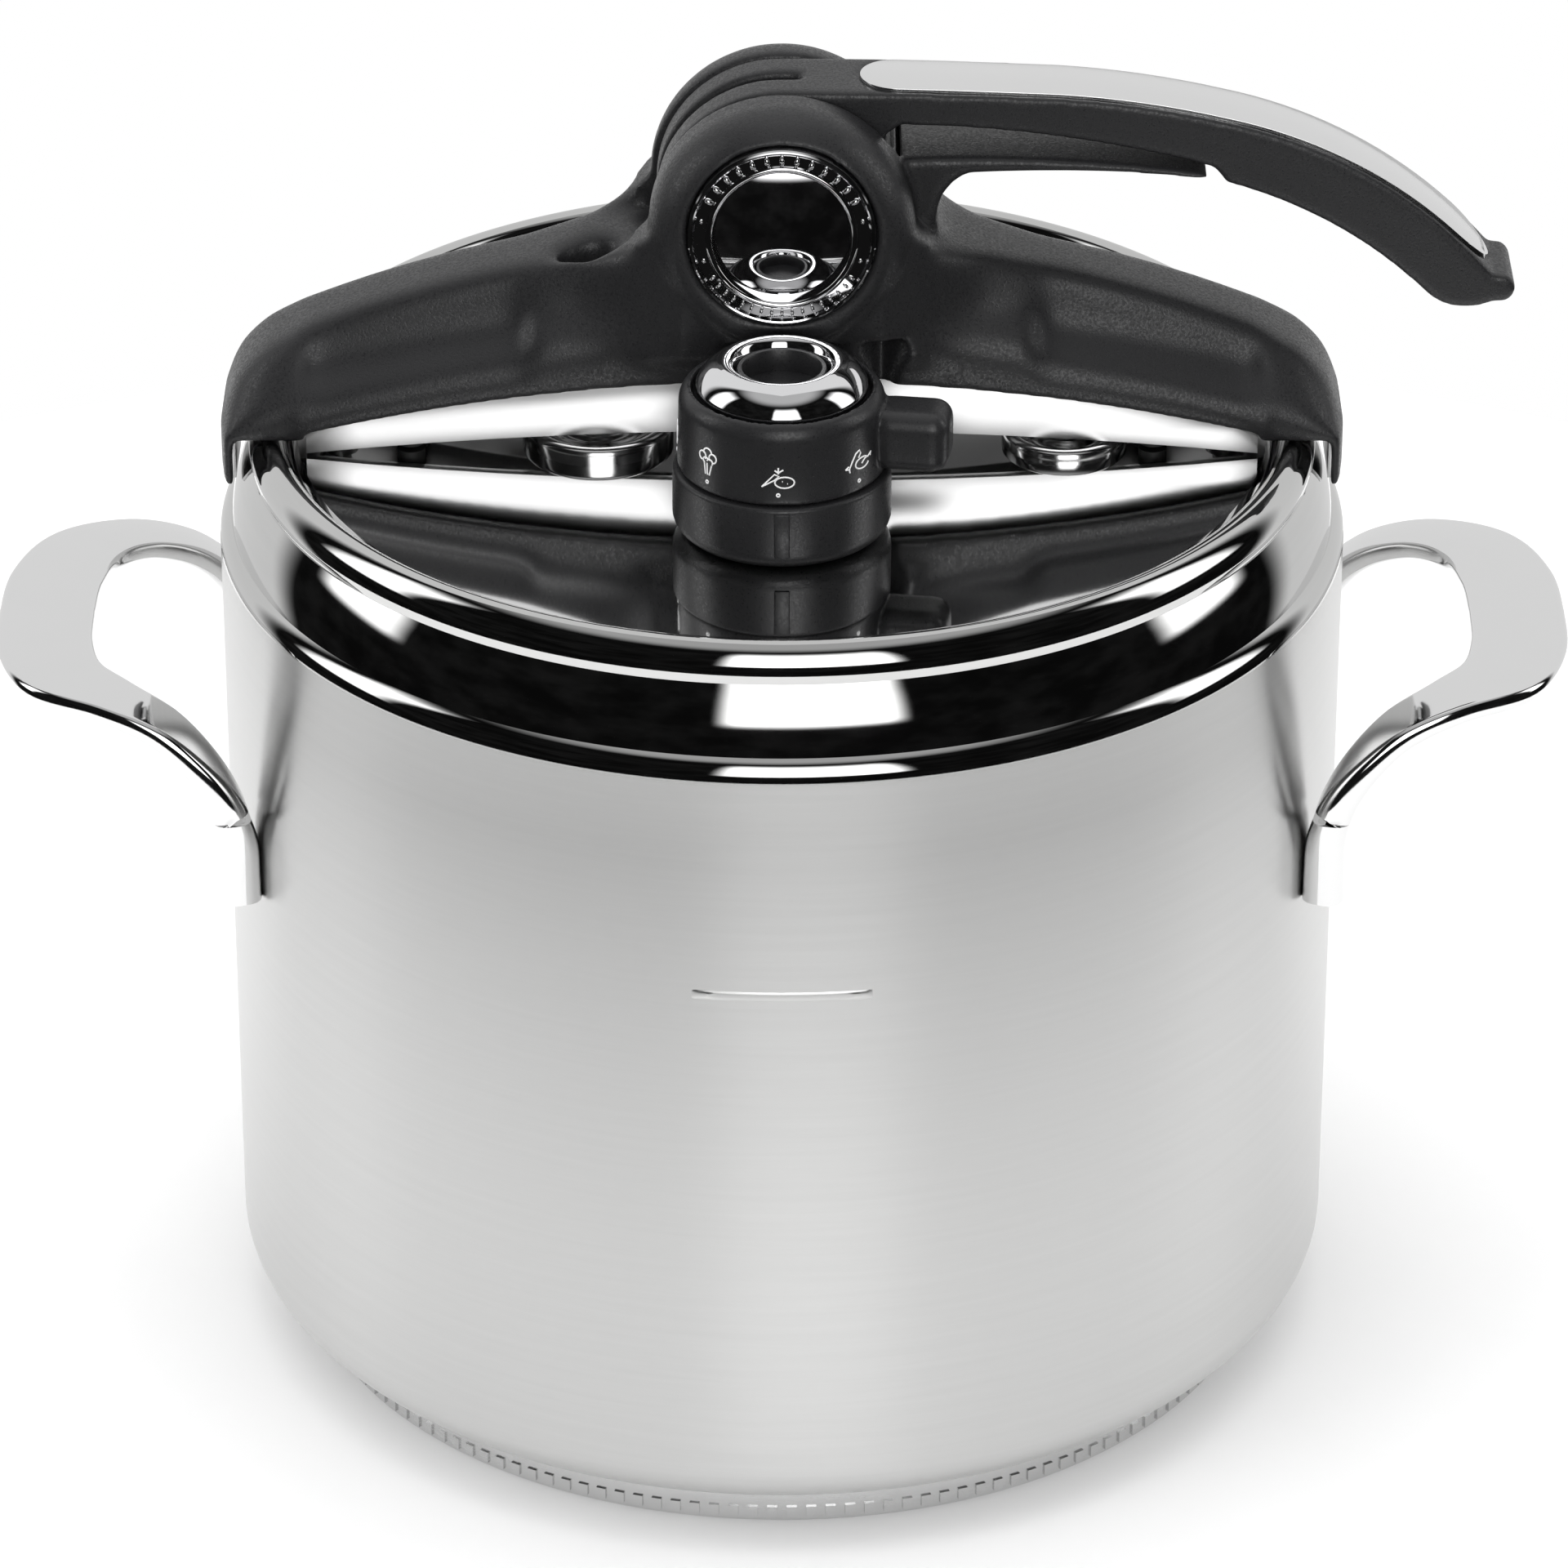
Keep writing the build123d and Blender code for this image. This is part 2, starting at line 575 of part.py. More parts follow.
with BuildPart() as medallion:
    with BuildSketch(face_plane.offset(-MEDALLION_T)):
        Circle(MEDALLION_R)
    extrude(amount=MEDALLION_T)
    with BuildSketch(face_plane):
        Circle(MEDALLION_R - 0.5)
        Circle(13.4, mode=Mode.SUBTRACT)
    extrude(amount=0.5)
    with BuildSketch(face_plane.offset(0.5)):
        Circle(14.6)
        Circle(13.4, mode=Mode.SUBTRACT)
    extrude(amount=0.5)
save(medallion, "medallion")

with BuildPart() as rear_cap:
    with BuildSketch(Plane.XZ.offset(-REAR_Y - 0.6)):
        with Locations((0, PIVOT_Z)):
            Circle(14)
    extrude(amount=3.2)
    fillet(rear_cap.faces().sort_by(Axis.Y)[-1].edges(), 0.8)
save(rear_cap, "rear_cap")

# ---- Bridge cover: black moulding with two arms, two cheeks and the guard under the lever ----
GUARD_HALF = 10.5
LUG_TOP_HALF = 9.5
LUG_HALF = 19.2
# Side outlines of the right arm's end, along its middle and along its edges.
LUG_CREST = [(94, 200), (104, 191.4), (COVER_END_X, 191.4), (111.4, 201), (108.2, 210.4),
             (102.5, 216.4), (94, 220.9)]
LUG_FLANK = [(94, 200), (104, 191.4), (COVER_END_X, 191.4), (111.5, 197), (109.6, 202.4),
             (104, 205.9), (94, 209.0)]
# The neck from the hub out to the arms: distance, top height, share of the arms' section.
NECK = [(20.0, 246.0, 0.0), (26.0, 246.0, 0.25), (31.0, 240.9, 0.55), (38.0, 238.0, 0.82),
        (50.0, 234.9, 1.0)]
NECK_HUB = (24.0, 25.0, 24.0, 21.0)   # half widths at the top and at three heights below
NECK_ARM = (9.0, 12.1, 18.8, 20.0)


def arm_side(y, crown):
    """Side outline of both arms in the plane Y = y, with its top at the height crown."""
    share = (crown - ARM_EDGE) / (ARM_TOP - ARM_EDGE)
    top_r = ARM_EDGE_R + (ARM_TOP_R - ARM_EDGE_R) * share
    end_top = crown - drop(ARM_X, top_r)
    end_low = ARM_EDGE - drop(ARM_X, ARM_EDGE_R)
    with BuildSketch(Plane.XZ.offset(-y)) as outline:
        with BuildLine():
            ThreePointArc((-ARM_X, end_top), (0, crown), (ARM_X, end_top))
            Line((ARM_X, end_top), (ARM_X, end_low))
            ThreePointArc((ARM_X, end_low), (0, ARM_EDGE), (-ARM_X, end_low))
            Line((-ARM_X, end_low), (-ARM_X, end_top))
        make_face()
    return outline.sketch


def lug_side(y, outline):
    """Side outline of one rounded arm end in the plane Y = y."""
    with BuildSketch(Plane.XZ.offset(-y)) as shape:
        with BuildLine():
            Polyline(*outline, close=True)
        make_face()
    return shape.sketch


def end_lugs():
    """Rounded ends of the arms, hanging down outside the rim."""
    with BuildPart() as lugs:
        for side in (-1, 1):
            crest = [(side * x, z) for x, z in LUG_CREST]
            flank = [(side * x, z) for x, z in LUG_FLANK]
            extrude(lug_side(LUG_TOP_HALF, crest), amount=2 * LUG_TOP_HALF)
            for edge in (-1, 1):
                loft(sections=[lug_side(edge * LUG_TOP_HALF, crest),
                               lug_side(edge * LUG_HALF, flank)], ruled=True)
        with BuildSketch(Plane.XY.offset(190)):
            Circle(COVER_END_X)
        extrude(amount=35, mode=Mode.INTERSECT)
    return lugs.part


def neck_section(x, top, share):
    """Cross-section of the neck at x, between the hub's (share 0) and the arms' (share 1)."""
    low = ARM_EDGE - drop(x, ARM_EDGE_R)
    halves = [hub + (arm - hub) * share for hub, arm in zip(NECK_HUB, NECK_ARM)]
    half = list(zip(halves, (top, 228.0, 222.0, 218.0))) + [(ARM_SECTION[-1][0], low)]
    with BuildSketch(Plane.YZ.offset(x)) as section:
        with BuildLine():
            Polyline(*half, *[(-y, z) for y, z in reversed(half)], close=True)
        make_face()
    return section.sketch


with BuildPart() as bridge_cover:
    # Arms: a narrow top, steep faces, then a soft shoulder out to the wide lower edges.
    extrude(arm_side(ARM_SECTION[0][0], ARM_TOP), amount=2 * ARM_SECTION[0][0])
    for upper, lower in zip(ARM_SECTION, ARM_SECTION[1:]):
        for side in (-1, 1):
            loft(sections=[arm_side(side * y, crown) for y, crown in (upper, lower)], ruled=True)
    add(end_lugs())
    # Cheeks and the neck that joins them to the arms.
    with BuildSketch(Plane.YZ):
        with BuildLine():
            ring = [(y, CHEEK_Z + r) for y, r in ((REAR_Y, 16.5), (20.6, 22.6), (12.5, CHEEK_R),
                                                  (-14, CHEEK_R), (-21.6, 24.6), (-25.8, 20.6))]
            Line((REAR_Y, CHEEK_Z), ring[0])
            ThreePointArc(*ring[:3])
            Line(ring[2], ring[3])
            ThreePointArc(*ring[3:])
            Polyline(ring[5], (-32, ring[5][1]), (-32, CHEEK_Z), (REAR_Y, CHEEK_Z))
        make_face()
    revolve(axis=Axis((0, 0, CHEEK_Z), (0, 1, 0)))
    for side in (-1, 1):
        middle = [neck_section(0, *NECK[0][1:]), neck_section(side * NECK[0][0], *NECK[0][1:])]
        loft(sections=middle, ruled=True)
        for inner, outer in zip(NECK, NECK[1:]):
            loft(sections=[neck_section(side * x, top, share) for x, top, share in (inner, outer)],
                 ruled=True)
    # Guard tongue under the lever.
    with BuildSketch(Plane.XZ.offset(-GUARD_HALF)):
        with BuildLine():
            ThreePointArc((22, 258.0), (54, 257.8), (82.4, 254.8))
            ThreePointArc((82.4, 254.8), (83.1, 254.2), (82.4, 253.6))
            ThreePointArc((82.4, 253.6), (60, 255.3), (36, 254.8))
            ThreePointArc((36, 254.8), (30.6, 248), (32, 240))
            Line((32, 240), (22, 240))
            Line((22, 240), (22, 258.0))
        make_face()
    extrude(amount=2 * GUARD_HALF)
    split(bisect_by=face_plane, keep=Keep.BOTTOM)
    # Clearance for the rim, the beam and its tongues.
    with BuildSketch(Plane.XY.offset(180)):
        Circle(109.9)
    extrude(amount=TONGUE_Z - 180, mode=Mode.SUBTRACT)
    with BuildSketch(Plane.XZ.offset(-BEAM_HALF - GAP)):
        add(beam_outline(-GAP))
    extrude(amount=2 * (BEAM_HALF + GAP), mode=Mode.SUBTRACT)
    with BuildSketch(Plane.XY.offset(TONGUE_Z - GAP)):
        Rectangle(2 * HOOK_X + 2 * GAP, 16 + 2 * GAP)
    extrude(amount=2.4 + 2 * GAP, mode=Mode.SUBTRACT)
    # Slot for the lever's drum, open at the top and on the left.
    with BuildSketch(Plane.XZ.offset(-CHEEK_IN)):
        with Locations((0, PIVOT_Z)):
            Circle(DRUM_R + 0.5)
        with Locations((-22.5, 268.2)):
            Rectangle(45, 60)
        with Locations((15, 276)):
            Rectangle(30, 30)
    extrude(amount=2 * CHEEK_IN, mode=Mode.SUBTRACT)
    # Pockets for the pivot bracket.
    for y in (-10.2, 12.8):
        with BuildSketch(Plane.XZ.offset(-y)):
            with Locations((0, PIVOT_Z)):
                Circle(11.4)
            with Locations((0, (216 + PIVOT_Z) / 2)):
                Rectangle(22.8, PIVOT_Z - 216)
        extrude(amount=2.6, mode=Mode.SUBTRACT)
    with BuildSketch(Plane.XY.offset(216)):
        Rectangle(22.8, 25.6)
    extrude(amount=7.5, mode=Mode.SUBTRACT)
    # Bores for the pin, its head and clip, and seats for the medallion and the rear cap.
    for y, radius, length in ((19.0, PIN_R + 0.15, 37.0), (-17.2, 7.4, 9.6), (22.0, 7.4, 6.4),
                              (REAR_Y + 2, 14.0, 4.6)):
        with BuildSketch(Plane.XZ.offset(-y)):
            with Locations((0, PIVOT_Z)):
                Circle(radius)
        extrude(amount=length, mode=Mode.SUBTRACT)
    with BuildSketch(face_plane.offset(-MEDALLION_T)):
        Circle(MEDALLION_R)
    extrude(amount=MEDALLION_T + 3, mode=Mode.SUBTRACT)
    # Room for the selector and its tab, the stud's plate, the indicator, the buffers and the screws.
    for radius, top in ((25.5, 225.0), (21.0, 228.6), (17.2, 236.5)):
        with BuildSketch(Plane.XY.offset(190)):
            with Locations(VALVE):
                Circle(radius)
        extrude(amount=top - 190, mode=Mode.SUBTRACT)
    with BuildSketch(Plane.XY.offset(190)):
        with BuildLine():
            sweep_arc = CenterArc(VALVE, TAB_TIP + 1.4, -70, 126)
            Polyline(sweep_arc @ 1, VALVE, sweep_arc @ 0)
        make_face()
    extrude(amount=225.2 - 190, mode=Mode.SUBTRACT)
    with BuildSketch(Plane.XY.offset(195)):
        with Locations(STOP):
            Circle(4.4)
        with Locations((STOP[0] - 3.5, STOP[1])):
            SlotOverall(9, 4)
    extrude(amount=60, mode=Mode.SUBTRACT)
    with BuildSketch(Plane.XY.offset(195)):
        with Locations(*BUFFERS):
            Circle(1.9)
        with Locations(*[(x, 0) for x in SCREW_X]):
            Circle(1.9)
    extrude(amount=19.5, mode=Mode.SUBTRACT)
save(bridge_cover, "bridge_cover")

with BuildPart() as cover_screws:
    for x in SCREW_X:
        seat = BEAM_CROWN - WEB_T - drop(abs(x) + 3.4, BEAM_ARC - WEB_T) - 0.1
        with BuildSketch(Plane.XY.offset(seat - 2)):
            with Locations((x, 0)):
                Circle(3.4)
        extrude(amount=2)
        with BuildSketch(Plane.XY.offset(seat)):
            with Locations((x, 0)):
                Circle(1.9)
        extrude(amount=min(10.5, 214.4 - seat))
save(cover_screws, "cover_screws")
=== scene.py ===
import json
from math import atan2, cos, pi, radians, sin, sqrt

import bmesh
import bpy
from mathutils import Matrix, Vector

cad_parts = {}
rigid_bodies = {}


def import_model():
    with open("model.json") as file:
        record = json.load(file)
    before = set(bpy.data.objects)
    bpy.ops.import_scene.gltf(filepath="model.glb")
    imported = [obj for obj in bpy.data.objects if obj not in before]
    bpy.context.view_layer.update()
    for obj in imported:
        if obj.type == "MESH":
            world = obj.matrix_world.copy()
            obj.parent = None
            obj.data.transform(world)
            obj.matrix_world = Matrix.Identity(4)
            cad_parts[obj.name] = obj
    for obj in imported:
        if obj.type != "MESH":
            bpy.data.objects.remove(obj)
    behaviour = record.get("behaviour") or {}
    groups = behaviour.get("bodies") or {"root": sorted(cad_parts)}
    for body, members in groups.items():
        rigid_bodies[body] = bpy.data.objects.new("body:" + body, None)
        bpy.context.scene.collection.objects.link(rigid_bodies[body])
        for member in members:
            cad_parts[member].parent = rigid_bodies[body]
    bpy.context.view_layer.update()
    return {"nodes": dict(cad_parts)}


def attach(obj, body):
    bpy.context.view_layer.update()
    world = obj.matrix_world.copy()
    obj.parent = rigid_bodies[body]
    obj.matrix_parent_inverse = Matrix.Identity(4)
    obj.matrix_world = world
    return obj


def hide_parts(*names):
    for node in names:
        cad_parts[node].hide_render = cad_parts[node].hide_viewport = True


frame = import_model()
nodes = frame["nodes"]
bpy.ops.object.select_all(action="DESELECT")
MM = 0.001

# ---- Pot body ----------------------------------------------------------------------------
# One sheet of stainless steel, deep drawn, spun in at the shoulder and rolled at the mouth.
# The wall is satin brushed round the pot; the rim above the shoulder is mirror polished.


def start_edit(piece):
    """Only this piece is selected and in edit mode, with nothing in it selected."""
    bpy.ops.object.select_all(action="DESELECT")
    bpy.context.view_layer.objects.active = piece
    piece.select_set(True)
    bpy.ops.object.mode_set(mode="EDIT")
    bpy.ops.mesh.select_all(action="DESELECT")


def end_edit():
    """Back to object mode."""
    bpy.ops.object.mode_set(mode="OBJECT")


def wire(name, points, closed=True):
    """A wire of points in millimetres, ready to be spun, filled or extruded."""
    mesh = bpy.data.meshes.new(name)
    edges = [(i, i + 1) for i in range(len(points) - 1)]
    if closed:
        edges.append((len(points) - 1, 0))
    mesh.from_pydata([(x * MM, y * MM, z * MM) for x, y, z in points], edges, [])
    piece = bpy.data.objects.new(name, mesh)
    bpy.context.scene.collection.objects.link(piece)
    return piece


def arc(start, via, end, steps):
    """Points of the arc from start through via to end, without its first point."""
    (ax, az), (bx, bz), (cx, cz) = start, via, end
    d = 2 * (ax * (bz - cz) + bx * (cz - az) + cx * (az - bz))
    a2, b2, c2 = ax * ax + az * az, bx * bx + bz * bz, cx * cx + cz * cz
    ox = (a2 * (bz - cz) + b2 * (cz - az) + c2 * (az - bz)) / d
    oz = (a2 * (cx - bx) + b2 * (ax - cx) + c2 * (bx - ax)) / d
    radius = sqrt((ax - ox) ** 2 + (az - oz) ** 2)
    first, middle, last = (atan2(z - oz, x - ox) for x, z in (start, via, end))
    turn = (last - first) % (2 * pi)
    if (middle - first) % (2 * pi) > turn:
        turn -= 2 * pi
    angles = [first + turn * i / steps for i in range(1, steps + 1)]
    return [(ox + radius * cos(a), oz + radius * sin(a)) for a in angles]


def smooth(piece, angle=40):
    """Shades a piece smooth apart from edges sharper than the angle."""
    bpy.ops.object.select_all(action="DESELECT")
    bpy.context.view_layer.objects.active = piece
    piece.select_set(True)
    bpy.ops.object.shade_smooth_by_angle(angle=radians(angle))


def apply(piece, kind, **values):
    """Adds a modifier with these values and applies it."""
    bpy.ops.object.select_all(action="DESELECT")
    bpy.context.view_layer.objects.active = piece
    piece.select_set(True)
    modifier = piece.modifiers.new(kind.lower(), kind)
    for key, value in values.items():
        setattr(modifier, key, value)
    bpy.ops.object.modifier_apply(modifier=modifier.name)


def lathe(name, profile, place=(0, 0), steps=96, angle=40):
    """A closed half profile of (radius, height) spun about a vertical axis at place."""
    piece = wire(name, [(r, 0, z) for r, z in profile])
    start_edit(piece)
    bpy.ops.mesh.select_all(action="SELECT")
    bpy.ops.mesh.spin(steps=steps, angle=2 * pi, center=(0, 0, 0), axis=(0, 0, 1))
    bpy.ops.mesh.select_all(action="SELECT")
    bpy.ops.mesh.remove_doubles(threshold=1e-6)
    bpy.ops.mesh.dissolve_degenerate(threshold=1e-7)
    bpy.ops.mesh.normals_make_consistent(inside=False)
    bpy.ops.transform.translate(value=(place[0] * MM, place[1] * MM, 0))
    end_edit()
    smooth(piece, angle)
    return piece


def new_group(name, inputs, outputs):
    """An empty shader node group with these sockets, and its input and output nodes."""
    group = bpy.data.node_groups.new(name, "ShaderNodeTree")
    for label, kind, value in inputs:
        socket = group.interface.new_socket(label, in_out="INPUT", socket_type=kind)
        if value is not None:
            socket.default_value = value
    for label, kind in outputs:
        group.interface.new_socket(label, in_out="OUTPUT", socket_type=kind)
    return group, group.nodes.new("NodeGroupInput"), group.nodes.new("NodeGroupOutput")


def maths(tree, operation, *values):
    """A Math node whose inputs are numbers or sockets; gives its output socket."""
    node = tree.nodes.new("ShaderNodeMath")
    node.operation = operation
    for socket, value in zip(node.inputs, values):
        if isinstance(value, (int, float)):
            socket.default_value = value
        else:
            tree.links.new(value, socket)
    return node.outputs[0]


def ramp(tree, value, low, high, to_low=0.0, to_high=1.0):
    """A smooth step from low to high, carried over to to_low and to_high."""
    node = tree.nodes.new("ShaderNodeMapRange")
    node.interpolation_type = "SMOOTHSTEP"
    tree.links.new(value, node.inputs["Value"])
    for label, number in (("From Min", low), ("From Max", high), ("To Min", to_low),
                          ("To Max", to_high)):
        node.inputs[label].default_value = number
    return node.outputs[0]


def noise(tree, vector, scale, detail=2.0, rough=0.5):
    """Noise with so many cells in a metre; gives a value from zero to one."""
    node = tree.nodes.new("ShaderNodeTexNoise")
    tree.links.new(vector, node.inputs["Vector"])
    node.inputs["Scale"].default_value = scale
    node.inputs["Detail"].default_value = detail
    node.inputs["Roughness"].default_value = rough
    return node.outputs["Fac"]


def coordinates(tree, stretch=(1, 1, 1)):
    """Object coordinates, drawn out along the axes."""
    where = tree.nodes.new("ShaderNodeTexCoord")
    mapping = tree.nodes.new("ShaderNodeMapping")
    mapping.inputs["Scale"].default_value = stretch
    tree.links.new(where.outputs["Object"], mapping.inputs["Vector"])
    return mapping.outputs["Vector"]


def build_steel_wear():
    """Worn polish for every metal: a mottled roughness, faint rubbing marks and a height."""
    group, start, end = new_group(
        "steel_wear",
        [("Vector", "NodeSocketVector", None), ("Roughness", "NodeSocketFloat", 0.2),
         ("Spread", "NodeSocketFloat", 0.05), ("Tone", "NodeSocketColor", (0.8, 0.8, 0.8, 1)),
         ("Stain", "NodeSocketFloat", 0.05)],
        [("Roughness", "NodeSocketFloat"), ("Colour", "NodeSocketColor"),
         ("Height", "NodeSocketFloat")])
    vector = start.outputs["Vector"]
    cloud = noise(group, vector, 22.0, 4.0, 0.6)
    rub = noise(group, vector, 900.0, 3.0, 0.7)
    swing = maths(group, "MULTIPLY", maths(group, "SUBTRACT", cloud, 0.5), start.outputs["Spread"])
    fine = maths(group, "MULTIPLY", maths(group, "SUBTRACT", rub, 0.5), start.outputs["Spread"])
    rough = maths(group, "ADD", maths(group, "ADD", swing, fine), start.outputs["Roughness"])
    group.links.new(rough, end.inputs["Roughness"])
    shade = group.nodes.new("ShaderNodeHueSaturation")
    group.links.new(start.outputs["Tone"], shade.inputs["Color"])
    dim = maths(group, "MULTIPLY", maths(group, "SUBTRACT", cloud, 0.5), start.outputs["Stain"])
    group.links.new(maths(group, "ADD", dim, 1.0), shade.inputs["Value"])
    group.links.new(shade.outputs["Color"], end.inputs["Colour"])
    group.links.new(rub, end.inputs["Height"])
    return group


steel_wear = build_steel_wear()


def metal(name, tone, rough, spread=0.04, stain=0.06, stretch=(1, 1, 1), bump=0.0,
          anisotropy=0.0, turn=0.0):
    """A metal finish on the worn-polish group; the bump is in millimetres."""
    material = bpy.data.materials.new(name)
    material.use_nodes = True
    tree = material.node_tree
    shader = tree.nodes["Principled BSDF"]
    shader.inputs["Metallic"].default_value = 1.0
    shader.inputs["Anisotropic"].default_value = anisotropy
    shader.inputs["Anisotropic Rotation"].default_value = turn
    wear = tree.nodes.new("ShaderNodeGroup")
    wear.name = "wear"
    wear.node_tree = steel_wear
    tree.links.new(coordinates(tree, stretch), wear.inputs["Vector"])
    wear.inputs["Roughness"].default_value = rough
    wear.inputs["Spread"].default_value = spread
    wear.inputs["Tone"].default_value = (*tone, 1)
    wear.inputs["Stain"].default_value = stain
    tree.links.new(wear.outputs["Colour"], shader.inputs["Base Color"])
    tree.links.new(wear.outputs["Roughness"], shader.inputs["Roughness"])
    if bump:
        relief = tree.nodes.new("ShaderNodeBump")
        relief.inputs["Distance"].default_value = bump * MM
        relief.inputs["Strength"].default_value = 1.0
        tree.links.new(wear.outputs["Height"], relief.inputs["Height"])
        tree.links.new(relief.outputs["Normal"], shader.inputs["Normal"])
    return material


def dress(piece, material):
    """The piece has this one material."""
    piece.data.materials.clear()
    piece.data.materials.append(material)


BODY_R, WALL, SHOULDER_Z = 112.5, 1.2, 174.5
CORNER_R, CORNER_H, FLOOR_Z = 24.0, 15.0, 6.0
RIM_FOOT, RIM_NECK, CREST, LIP, MOUTH = (110.2, 179.6), (105.9, 193.0), (102.9, 200.5), \
    (99.8, 199.2), (98.5, 195.0)


def corner(inset, first, last, steps=14):
    """The pot's lower corner, a quarter ellipse, from the angle first to the angle last."""
    turns = [radians(first + (last - first) * i / steps) for i in range(steps + 1)]
    return [(BODY_R - CORNER_R + (CORNER_R - inset) * cos(a),
             FLOOR_Z + CORNER_H + (CORNER_H - inset) * sin(a)) for a in turns]


pot_profile = [(0, FLOOR_Z)] + corner(0, -90, 0)
pot_profile += [(BODY_R, 21 + 15.35 * i) for i in range(1, 10)] + [(BODY_R, SHOULDER_Z)]
pot_profile += arc((BODY_R, SHOULDER_Z), (112.1, 177.4), RIM_FOOT, 8)
pot_profile += arc(RIM_FOOT, (108.7, 186.6), RIM_NECK, 10)
pot_profile += arc(RIM_NECK, (105.2, 198.4), CREST, 12)
pot_profile += arc(CREST, (101.2, 200.4), LIP, 6) + arc(LIP, (98.8, 197.3), MOUTH, 6)
pot_profile += [(MOUTH[0] + WALL, MOUTH[1])] + arc((99.7, 195), (100.0, 196.9), (100.8, 198.5), 4)
pot_profile += arc((100.8, 198.5), (101.7, 199.2), (102.7, 199.3), 4)
pot_profile += arc((102.7, 199.3), (104.1, 197.5), (104.7, 193.2), 6)
pot_profile += arc((104.7, 193.2), (107.4, 186.4), (109.0, 179.3), 8)
pot_profile += arc((109.0, 179.3), (110.9, 177.1), (BODY_R - WALL, SHOULDER_Z), 5)
pot_profile += [(BODY_R - WALL, 21.0)] + corner(WALL, 0, -90)[1:] + [(0, FLOOR_Z + WALL)]
pot = lathe("pot", pot_profile, steps=192)

satin_and_mirror = metal("satin_and_mirror", (0.62, 0.62, 0.615), 0.3, spread=0.05, stain=0.10,
                         stretch=(1, 1, 26), bump=0.0006, anisotropy=0.85, turn=0.25)
tree = satin_and_mirror.node_tree
shader = tree.nodes["Principled BSDF"]
where = tree.nodes.new("ShaderNodeTexCoord")
height = tree.nodes.new("ShaderNodeSeparateXYZ")
tree.links.new(where.outputs["Object"], height.inputs[0])
polished = ramp(tree, height.outputs["Z"], (SHOULDER_Z + 0.3) * MM, (SHOULDER_Z + 1.2) * MM)
blend = tree.nodes.new("ShaderNodeMix")
tree.links.new(polished, blend.inputs["Factor"])
tree.links.new(tree.nodes["wear"].outputs["Roughness"], blend.inputs["A"])
blend.inputs["B"].default_value = 0.035
tree.links.new(blend.outputs["Result"], shader.inputs["Roughness"])
dress(pot, satin_and_mirror)
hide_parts("pot_body")
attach(pot, "pot")

# The raised bar pressed in the front of the pot: a small smooth pillow on the wall.
BAR_HALF, BAR_RISE, BAR_Z = 17.6, 0.28, 129.0
bpy.ops.mesh.primitive_grid_add(x_subdivisions=72, y_subdivisions=8, size=1)
bar = bpy.context.object
bar.name = "raised_bar"
bar.data.transform(Matrix.Diagonal((2 * BAR_HALF * MM, 2.2 * MM, 1, 1)))
for vertex in bar.data.vertices:
    along, up = vertex.co.x / (BAR_HALF * MM), vertex.co.y / (1.1 * MM)
    swell = max(0.0, 1 - abs(up) ** 3) * max(0.0, 1 - abs(along) ** 24)
    radius = (BODY_R - 0.06) * MM + BAR_RISE * MM * swell
    bearing = vertex.co.x / radius
    vertex.co = (radius * sin(bearing), -radius * cos(bearing), BAR_Z * MM + vertex.co.y)
smooth(bar, 60)
dress(bar, satin_and_mirror)
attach(bar, "pot")

# ---- Base --------------------------------------------------------------------------------
# An aluminium heat disc bonded under the pot and sealed by a steel cup with a toothed edge.
# Both come straight from the frame; the cup is satin, with the fine ring marks of turning.
turned_steel = metal("turned_steel", (0.66, 0.66, 0.66), 0.26, spread=0.08, stain=0.12,
                     stretch=(1, 1, 14), bump=0.001)
aluminium = metal("aluminium_core", (0.70, 0.70, 0.72), 0.38, spread=0.1, stain=0.15, bump=0.002)
dress(nodes["base_cap"], turned_steel)
dress(nodes["base_core"], aluminium)

# ---- Pot handles -------------------------------------------------------------------------
# Mirror-polished steel strap, 4 mm thick where it is held, bent out of the wall in a flat
# loop and turned down into two thick feet welded to the wall. All its edges are rounded.

# One half, from the outermost point to the foot: middle, width, thickness, bearing of width.
STRAP = [
    (148.4, 0.0, 153.0, 19.4, 4.0, 0.0),
    (147.6, 15.0, 153.0, 19.4, 4.0, 13.0),
    (142.8, 28.4, 153.0, 17.8, 4.0, 38.0),
    (132.5, 35.8, 152.2, 13.4, 4.1, 64.0),
    (122.5, 39.8, 148.4, 11.4, 4.6, 74.0),
    (115.5, 42.2, 142.0, 10.2, 5.6, 82.0),
    (110.9, 43.2, 134.5, 9.3, 7.0, 96.0),
    (108.7, 43.0, 126.0, 9.0, 8.0, 109.0),
    (108.4, 42.95, 118.0, 9.0, 8.2, 111.6),
    (108.4, 42.95, 112.3, 9.0, 8.2, 111.6),
]


def spline(stations, steps):
    """Catmull-Rom spline through rows of numbers, with steps between two rows."""
    rows = [stations[0]] + list(stations) + [stations[-1]]
    out = []
    for a, b, c, d in zip(rows, rows[1:], rows[2:], rows[3:]):
        for i in range(steps):
            t = i / steps
            out.append([0.5 * (2 * q + (r - p) * t + (2 * p - 5 * q + 4 * r - s) * t * t
                               + (3 * q - p - 3 * r + s) * t ** 3)
                        for p, q, r, s in zip(a, b, c, d)])
    return out + [list(stations[-1])]


def rounded(width, thick, radius, steps=4):
    """A rounded rectangle about the origin, as (across, up) points."""
    points = []
    for turn, (sx, sy) in enumerate(((1, 1), (-1, 1), (-1, -1), (1, -1))):
        for i in range(steps + 1):
            a = radians(90 * turn + 90 * i / steps)
            points.append((sx * (width / 2 - radius) + radius * cos(a),
                           sy * (thick / 2 - radius) + radius * sin(a)))
    return points


